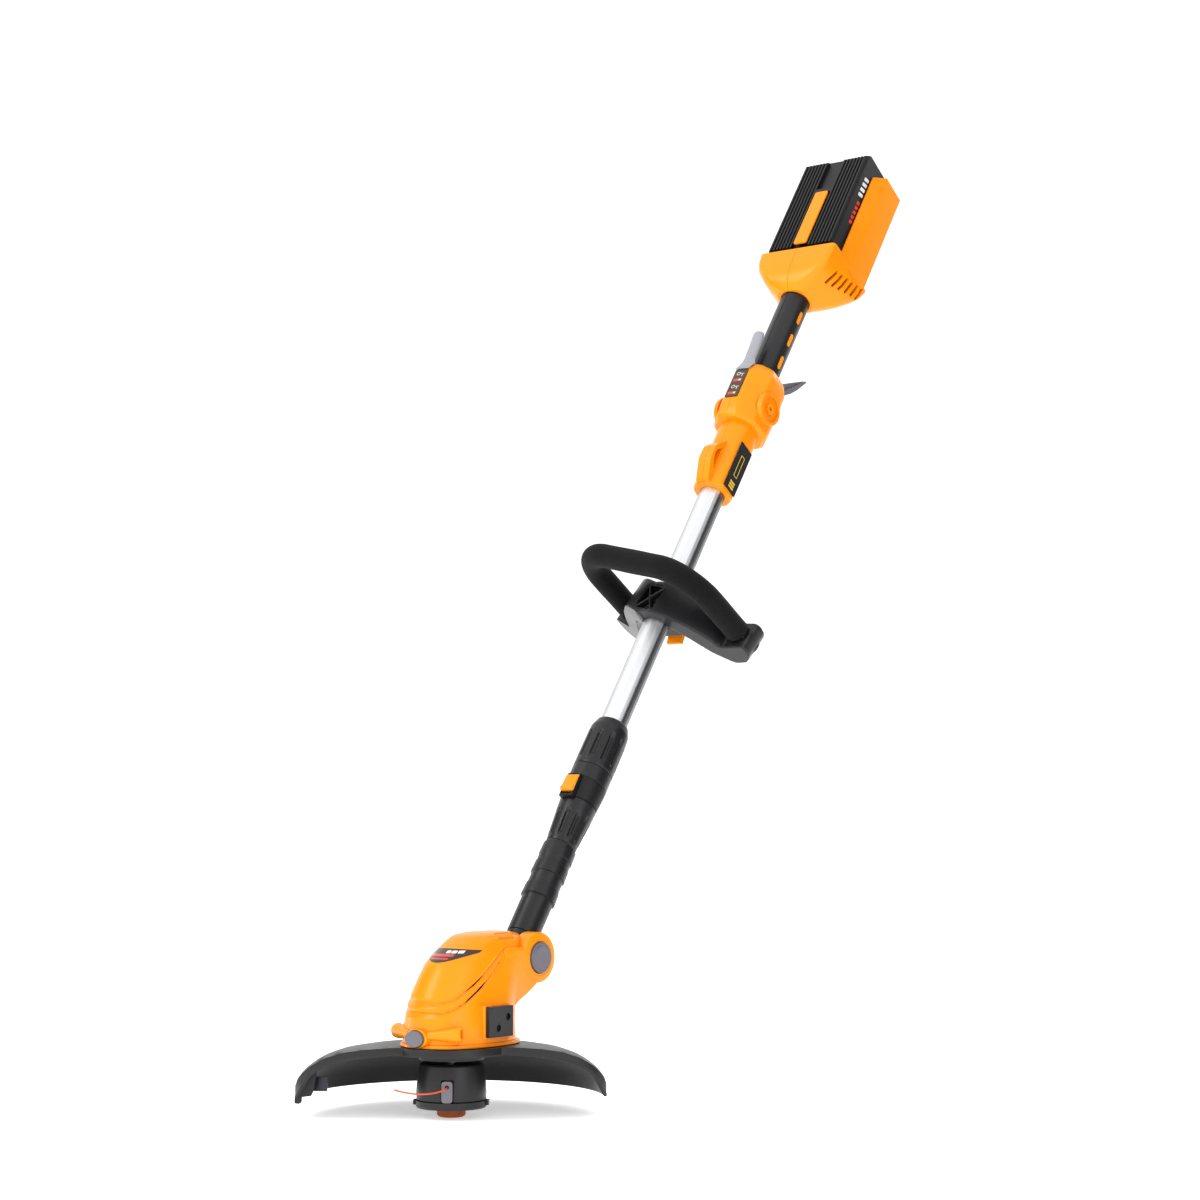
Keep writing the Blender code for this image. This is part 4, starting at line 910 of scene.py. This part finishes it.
# %% Tilt button
BUTTON = [(14.3, 28.4), (14.3, 33.9), (14.0, 34.4), (13.3, 34.7), (12.2, 34.8), (11.6, 34.45), (11.0, 34.8)]
BUTTON += [(10.2, 35.4), (9.4, 35.5), (6.0, 35.25), (2.0, 35.1)]
fine("tilt_button", lathe(BUTTON, 72), grey, "grey_plastic", AT_PIVOT, "X", smooth=28.0)
print("tilt button turned")

# %% [markdown]
# ## Fluted collars
# Both twist collars have ten long flutes, shallow and round-bottomed. Each flute runs out gently at its ends.

# %% Collars
TAPER = [(15.3, 122.9), (15.6, 127.5), (16.0, 131.5), (17.7, 154.5), (18.1, 158.5), (18.8, 170.5)]
TWIST = [(20.2, 210.6), (20.2, 216.5), (20.2, 220.5), (20.0, 247.5), (20.0, 251.5), (19.4, 259.0), (16.2, 268.0)]


def fluted_rings(profile, span, bore, depth=1.9, flutes=10, count=200):
    """A collar's rings: up the outside, with flutes over a span of heights, and back down the bore."""
    rings = []
    low, high = profile[0][1], profile[-1][1]
    heights = [low, low + 0.35, low + 0.8]
    heights += [low + 0.8 + (high - low - 1.6) * k / 34 for k in range(1, 34)] + [high - 0.8, high - 0.35, high]
    flipped = [(z, r) for r, z in profile]
    for z in heights:
        ends = min(z - low, high - z)
        radius = straight(flipped, z) - 0.7 * max(0.0, 1 - ends / 0.8) ** 2
        fade = easing(z, span[0] - 1.0, span[0] + 4.0) * (1 - easing(z, span[1] - 4.0, span[1] + 1.0))
        ring = []
        for i in range(count):
            angle = math.tau * i / count
            groove = easing(math.cos(angle * flutes), 0.3, 0.95)
            reach = radius - depth * groove * fade
            ring.append((reach * math.cos(angle), reach * math.sin(angle), z))
        rings.append(ring)
    return rings + [circle(r, z, count) for r, z in bore]


TAPER_BORE = [(14.0, 170.5), (14.0, 122.9)]
TWIST_BORE = [(14.0, 268.0), (14.0, 264.5), (17.0, 263.0), (17.0, 210.6)]
taper = fluted_rings(TAPER, (129.0, 157.0), TAPER_BORE)
twist = fluted_rings(TWIST, (218.0, 250.0), TWIST_BORE)
for node, collar in (("taper_collar", taper), ("twist_collar", twist)):
    fine(node, collar, black, "black_plastic", SHAFT, loop=True, smooth=30.0)
print("collars fluted")

# %% [markdown]
# ## Foam grip
# The sleeve follows the bar from foot to foot. Its section breathes by a tenth of a millimetre, and its ends are
# turned in, where the knife that cut it left the foam to spring back.

# %% Foam sleeve
HALF, TOP, BEND, FOOT, SKEW = 80.0, 60.0, 42.0, -36.0, -11.0


def handle_line(foot, steps=14):
    """The bar's centre line from one foot over the top to the other, in steps of about 5 mm."""
    rise = (TOP - BEND - foot) / 10
    points = [(-HALF, -(foot + rise * k), 0.0) for k in range(10)]
    for i in range(steps + 1):
        t = math.pi / 2 * i / steps
        points.append((-HALF + BEND - BEND * math.cos(t), -(TOP - BEND + BEND * math.sin(t)), 0.0))
    points += [((HALF - BEND) * (k / 8 - 1), -TOP, 0.0) for k in range(1, 8)]
    right = [(-x, y, z) for x, y, z in reversed(points)]
    points += [(0.0, -TOP, 0.0)] + right
    return [(x + SKEW * max(0.0, -y - FOOT) / (TOP - FOOT), y, z) for x, y, z in points]


def sweep(route, radii, count=40):
    """Rings across a flat route, one for each radius."""
    rings = []
    up = Vector((0, 0, 1))
    turns = [math.tau * k / count for k in range(count)]
    for i, (point, radius) in enumerate(zip(route, radii)):
        ahead = route[min(i + 1, len(route) - 1)] - route[max(i - 1, 0)]
        side = Vector((-ahead.y, ahead.x, 0.0)).normalized()
        rings.append([point + (side * math.cos(t) + up * math.sin(t)) * radius for t in turns])
    return rings


def at_stations(route, lengths, stations):
    """Points on a route at the given distances along it."""
    made = []
    for station in stations:
        k = max(0, min(len(route) - 2, sum(1 for v in lengths if v <= station) - 1))
        share = (station - lengths[k]) / (lengths[k + 1] - lengths[k])
        made.append(route[k].lerp(route[k + 1], min(1.0, share)))
    return made


FOAM_R, FOAM_BORE, FOAM_ROLL, FOAM_STEPS = 12.5, 6.6, 3.5, 170
rough_route = smooth_route(handle_line(FOOT + 1.8), 3)
lengths = [0.0]
for a, b in zip(rough_route, rough_route[1:]):
    lengths.append(lengths[-1] + (b - a).length)
total = lengths[-1]
close = [0.0, 0.5, 1.2, 2.2, FOAM_ROLL]  # rings crowd together where the ends roll in
stations = close + [FOAM_ROLL + (total - 2 * FOAM_ROLL) * k / FOAM_STEPS for k in range(1, FOAM_STEPS)]
stations += [total - step for step in reversed(close)]
route = at_stations(rough_route, lengths, stations)


def foam_radius(station):
    end = max(0.0, 1 - min(station, total - station) / FOAM_ROLL)
    return FOAM_R - 1.5 * end**2.4 - 0.12 * (1 + math.sin(station * 0.11))


sleeve = sweep(route, [foam_radius(station) for station in stations])
core = sweep(route, [FOAM_BORE] * len(route))[::-1]
core = core[::6] + core[-1:]  # the bore is plain, so every sixth ring and the last are enough
fine("foam_grip", sleeve + core, foam, "foam", HANDLE, loop=True, smooth=50.0)
print("foam sleeve", round(total, 1), "mm long")

# %% [markdown]
# ## Printed films
# Three films carry the markings: one on the front panel, one on the side and one on the housing's brow. They are drawn
# from plain shapes, so they say nothing and name nobody. A mask is 1 inside its shape and 0 outside.


# %% Films
class Film(Finish):
    """A printed film whose shapes are placed in millimetres."""

    def __init__(self, name, turn=(0.0, 0.0, 0.0), origin=(0.0, 0.0, 0.0), **constants):
        super().__init__(name, **constants)
        self.x, self.y, self.z = self.axes(self.stretched(IN_MM, turn, origin))

    def bar(self, across, up, middle, size, soft=0.12):
        flat = 1 - abs(across - middle[0]).rise(size[0] - soft, size[0] + soft)
        tall = 1 - abs(up - middle[1]).rise(size[1] - soft, size[1] + soft)
        return flat * tall

    def ring(self, across, up, middle, radius, width, soft=0.15):
        side, rise = across - middle[0], up - middle[1]
        far = (side * side + rise * rise) ** 0.5
        return 1 - abs(far - radius).rise(width - soft, width + soft)

    def printed(self, base, layers, rough=0.3):
        colour = self.mix(self.noise(60.0, 2.0).rise(0.3, 0.7), shaded(base, 0.85), base)
        for mask, ink in layers:
            colour = self.mix(mask, colour, ink)
        gloss = self.noise(130.0, 3.0) * 0.12 + rough
        return self.paint(Base_Color=colour, Roughness=gloss, Normal=self.bump(self.noise(700.0, 2.0), 0.08, 0.0002))


RED, CREAM, YELLOW, WHITE = (0.62, 0.05, 0.03), (0.62, 0.62, 0.42), (0.85, 0.55, 0.05), (0.85, 0.84, 0.82)


def panel_film():
    film = Film("panel_film", SHAFT_TURN, PIVOT_M, Coat_Weight=0.4)
    x, z = film.x, film.z
    layers = [(film.bar(x, z, (-0.6, low), (5.2, 1.9), 0.4), RED) for low in (687.4, 706.4)]
    layers += [(film.bar(x, z, (2.4, low), (1.4, 1.2), 0.3), CREAM) for low in (687.4, 706.4)]
    for low in (696.6, 715.6):
        layers.append((film.ring(x, z, (-2.2, low), 2.0, 0.42), CREAM))
        layers.append((film.bar(x, z, (2.4, low), (2.6, 0.45)), CREAM))
        layers.append((film.bar(x, z, (3.0, low - 2.4), (0.5, 2.0)), CREAM))
    return film.printed((0.045, 0.028, 0.022), layers)


def strip_film():
    film = Film("strip_film", SHAFT_TURN, PIVOT_M, Coat_Weight=0.4)
    y, z = film.y, film.z
    layers = [(film.bar(y, z, (-0.5, 579.5 + 3.4 * k), (4.6, 1.1)), YELLOW) for k in range(3)]
    outer = film.bar(y, z, (-0.5, 608.0), (3.4, 14.0), 0.3)
    inner = film.bar(y, z, (-0.5, 608.0), (2.5, 13.2), 0.3)
    layers.append((outer * (1 - inner), YELLOW))
    return film.printed((0.013, 0.013, 0.014), layers, 0.35)


def brow_film():
    film = Film("brow_film", Coat_Weight=0.6)
    x, z = film.x, film.z
    layers = [(film.bar(x, z, (-3.0, 145.4), (15.0, 1.1), 0.2), RED)]
    layers.append((film.bar(x, z, (-1.0, 142.4), (10.5, 0.6), 0.2), RED))
    layers += [(film.bar(x, z, (4.5 + 5.4 * k, 148.3), (2.2, 1.15), 0.25), WHITE) for k in range(3)]
    return film.printed((0.035, 0.014, 0.010), layers, 0.22)


PANEL = rounded([(-8.0, 682.0), (8.0, 682.0), (8.0, 722.0), (-8.0, 722.0)], 1.2, 4)
STRIP = rounded([(-11.5, 575.0), (10.5, 575.0), (10.5, 635.0), (-11.5, 635.0)], 1.0, 4)
panel = [[(x, y, z) for x, z in PANEL] for y in (-33.6, -34.35, -34.5)]
strip = [[(x, y, z) for y, z in STRIP] for x in (20.0, 20.65, 20.75)]
fine("label_panel", panel, panel_film(), "label_film", SHAFT)
fine("side_strip", strip, strip_film(), "label_film", SHAFT)


BROW_COLUMNS, BROW_ROWS, BROW_LIFT = 48, 14, 0.25


def laid_on(target, grid, direction, lift, name, paint, body):
    """A thin film dropped onto a surface along one direction, lifted a little off it."""
    shape = bmesh.new()
    shape.from_mesh(target.data)
    tree = BVHTree.FromBMesh(shape)
    shape.free()
    film = bmesh.new()
    rows = []
    for row in grid:
        placed = []
        for point in row:
            hit, normal, _, _ = tree.ray_cast(Vector(point) * MM, Vector(direction))
            placed.append(film.verts.new(hit + normal * lift * MM))
        rows.append(placed)
    for low, high in zip(rows, rows[1:]):
        for i in range(len(low) - 1):
            film.faces.new((low[i], low[i + 1], high[i + 1], high[i]))
    bmesh.ops.recalc_face_normals(film, faces=film.faces)
    mesh = bpy.data.meshes.new(name)
    film.to_mesh(mesh)
    film.free()
    piece = bpy.data.objects.new(name, mesh)
    settle(piece, body, paint, slot="label_film", smooth=60.0)
    if sum(face.normal.y for face in mesh.polygons) > 0:  # the film must face the front
        mesh.flip_normals()
    return piece


brow = []
for k in range(BROW_ROWS + 1):
    row = []
    for i in range(BROW_COLUMNS + 1):
        u = -0.985 + 1.97 * i / BROW_COLUMNS
        low, high = 139.0 + 8.6 * u * u, 151.0 - 1.5 * u * u
        row.append((25.5 * u, -90.0, low + (high - low) * k / BROW_ROWS))
    brow.append(row)
laid_on(housing, brow, (0, 1, 0), BROW_LIFT, "brow_film", brow_film(), "head")
print("films printed")

# %% [markdown]
# ## Battery marks
# Each flank of the battery pack carries a slanted mark: a pale outline above and a red stroke below it. Here each is
# a short row of raised strokes, 0.2 mm high, with no letters.


# %% Battery marks
def ink(name, colour):
    finish = Finish(name)
    cloud = finish.noise(80.0, 3.0)
    base = finish.mix(cloud.rise(0.35, 0.65), shaded(colour, 0.88), colour)
    return finish.paint(Base_Color=base, Roughness=cloud * 0.15 + 0.3)


pale_ink, red_ink = ink("pale_ink", (0.82, 0.82, 0.82)), ink("red_ink", (0.75, 0.06, 0.03))
FLANK = 42.65


def stroke(name, side, near, far, low, slant, tall, paint):
    """A slanted bar between two distances forward of the shaft."""
    corners = [(near, low), (far, low + slant), (far, low + slant + tall), (near, low + tall)]
    inner, outer = side * (FLANK - 0.3), side * (FLANK + 0.06)
    rings = [[(x, y, z) for y, z in rounded(corners, 0.7, 2)] for x in (inner, outer)]
    skin(name, rings, "battery", paint, SHAFT, slot="label_film")


for side in (1, -1):
    for k in range(4):
        stroke(f"pale_stroke_{side}_{k}", side, -20.0, -11.5, 1001.0 + 8.0 * k, 2.6, 5.0, pale_ink)
    for k in range(5):
        stroke(f"red_stroke_{side}_{k}", side, -16.5, -11.0, 960.0 + 7.4 * k, 1.8, 4.8, red_ink)
print("battery marked")

# %% [markdown]
# ## The lock-off lever, the rotation slider and the guard's hub
# The lever is a round rod on a curved foot, so we stack ovals up it. The slider is one outline across the collar, its
# ends drawn in by 0.7 mm to round them. Under the guard a short dark skirt closes the gap above the spool, where grass
# would otherwise wrap round the spindle.

# %% Lever rod, slider and hub skirt
LEVER = SHAFT @ Matrix.Translation((0, -21.0, 735.0))
LEVER_OVALS = [  # height up the shaft, middle, half depth, half width
    (-12.6, -14.0, 0.9, 8.6),
    (-12.0, -13.9, 1.3, 9.2),
    (-6.0, -11.6, 1.9, 9.4),
    (-1.0, -9.0, 2.9, 9.4),
    (1.5, -8.8, 3.4, 8.6),
    (3.5, -8.9, 3.9, 7.4),
    (6.0, -9.1, 4.1, 6.9),
    (20.0, -9.8, 4.4, 6.8),
    (37.0, -11.0, 4.8, 6.8),
    (40.5, -11.3, 4.7, 6.6),
    (42.0, -11.5, 4.1, 5.9),
    (42.6, -11.6, 3.0, 4.6),
]
rod = []
for z, middle, deep, wide in LEVER_OVALS:
    turns = [math.tau * i / 48 for i in range(48)]
    rod.append([(wide * math.cos(t), middle + deep * math.sin(t), z) for t in turns])
fine("lock_off_lever", rod, lever_grey, "lever_grey_plastic", LEVER, smooth=50.0)

SLIDER = [(-20.9, 173.0), (-25.0, 173.0), (-26.9, 175.0), (-25.2, 178.0)]
SLIDER += [(-24.7, 190.0), (-23.6, 192.4), (-20.9, 192.4)]
SLIDER_MIDDLE = Vector((-23.4, 183.0))
outline = [Vector(p) for p in rounded(SLIDER, 0.9, 3)]
drawn_in = [p + (SLIDER_MIDDLE - p).normalized() * 0.7 for p in outline]
stack = ((-7.4, drawn_in), (-6.9, outline), (6.9, outline), (7.4, drawn_in))
slider = [[(x, *p) for p in points] for x, points in stack]
fine("rotation_slider", slider, orange, "orange_plastic", SHAFT)

SKIRT = [(23.0, 61.2), (30.5, 61.2), (30.5, 53.0), (29.5, 51.6), (27.0, 51.6), (26.0, 53.0), (23.0, 60.0)]
skin("hub_skirt", lathe(SKIRT, 72), "head", guard_black, loop=True, slot="black_plastic")
print("lever, slider and skirt made")

# %% [markdown]
# ## The studio
# A pale floor, a white surround and four large soft lights: one high on the left for the shape, one on the right that
# leaves the flanks darker, one behind for the rims, and a long strip that draws the highlight down the tube. In so
# white a room black plastic turns grey and bright metal disappears, so two dark flags stand at the sides to be
# reflected, where the camera doesn't see them. A contrast look does the rest, because it deepens the blacks.

# %% Studio
world = bpy.data.worlds.new("surround")
bpy.context.scene.world = world
world.use_nodes = True
world.node_tree.nodes["Background"].inputs["Color"].default_value = (1.0, 1.0, 1.0, 1.0)
world.node_tree.nodes["Background"].inputs["Strength"].default_value = 1.0


def pale_floor():
    finish = Finish("pale_floor")
    cloud = finish.noise(3.0, 2.0)
    base = finish.mix(cloud, (0.93, 0.93, 0.93), (0.96, 0.96, 0.96))
    paint = finish.paint(Base_Color=base, Roughness=cloud * 0.1 + 0.7)
    finish.feed(finish.shader.inputs["Emission Strength"], 0.4)
    finish.feed(finish.shader.inputs["Emission Color"], (1.0, 1.0, 1.0))
    return paint


def flat_sheet(name, half_x, half_y, z, paint):
    mesh = bpy.data.meshes.new(name)
    corners = [(-half_x, -half_y, z), (half_x, -half_y, z), (half_x, half_y, z), (-half_x, half_y, z)]
    mesh.from_pydata(corners, [], [(0, 1, 2, 3)])
    mesh.materials.append(paint)
    sheet = bpy.data.objects.new(name, mesh)
    bpy.context.scene.collection.objects.link(sheet)
    return sheet


FLOOR_HALF, FLOOR_Z = 14.0, -0.0005
flat_sheet("floor", FLOOR_HALF, FLOOR_HALF, FLOOR_Z, pale_floor())


def soft_light(name, place, target, size, power, tint=(1.0, 1.0, 1.0)):
    lamp = bpy.data.lights.new(name, "AREA")
    lamp.shape, lamp.size, lamp.size_y = "RECTANGLE", *size
    lamp.energy, lamp.color = power, tint
    made = bpy.data.objects.new(name, lamp)
    made.location = place
    made.rotation_euler = (Vector(place) - Vector(target)).to_track_quat("Z", "Y").to_euler()
    bpy.context.scene.collection.objects.link(made)


def flag(name, middle, facing, half):
    """A dark panel that the camera doesn't see; it keeps the white surround off one side."""
    finish = Finish(f"{name}_cloth")
    cloud = finish.noise(4.0, 2.0)
    base = finish.mix(cloud, (0.03, 0.03, 0.03), (0.05, 0.05, 0.05))
    cloth = finish.paint(Base_Color=base, Roughness=cloud * 0.1 + 0.85)
    sheet = flat_sheet(name, *half, 0.0, cloth)
    sheet.location = middle
    sheet.rotation_euler = Vector(facing).to_track_quat("Z", "Y").to_euler()
    sheet.visible_camera = False


flag("right_flag", (1.25, 1.15, 1.0), (-0.79, -0.61, 0.0), (0.9, 0.85))
flag("left_flag", (-1.3, -0.55, 1.1), (0.79, 0.61, 0.0), (0.6, 0.6))
soft_light("key", (-1.3, -2.0, 2.3), (0.0, 0.2, 0.5), (1.6, 1.6), 30.0, (1.0, 0.985, 0.96))
soft_light("fill", (2.6, -0.8, 1.2), (0.0, 0.2, 0.4), (1.5, 2.0), 8.0)
soft_light("back", (0.6, 2.6, 2.2), (0.0, 0.3, 0.6), (2.0, 1.0), 14.0)
soft_light("strip", (-2.2, -0.6, 0.8), (0.0, 0.3, 0.5), (0.4, 2.2), 10.0)
view = bpy.context.scene.view_settings
view.view_transform, view.look, view.exposure, view.gamma = "Standard", "Medium High Contrast", 0.0, 1.0
print("studio lit")
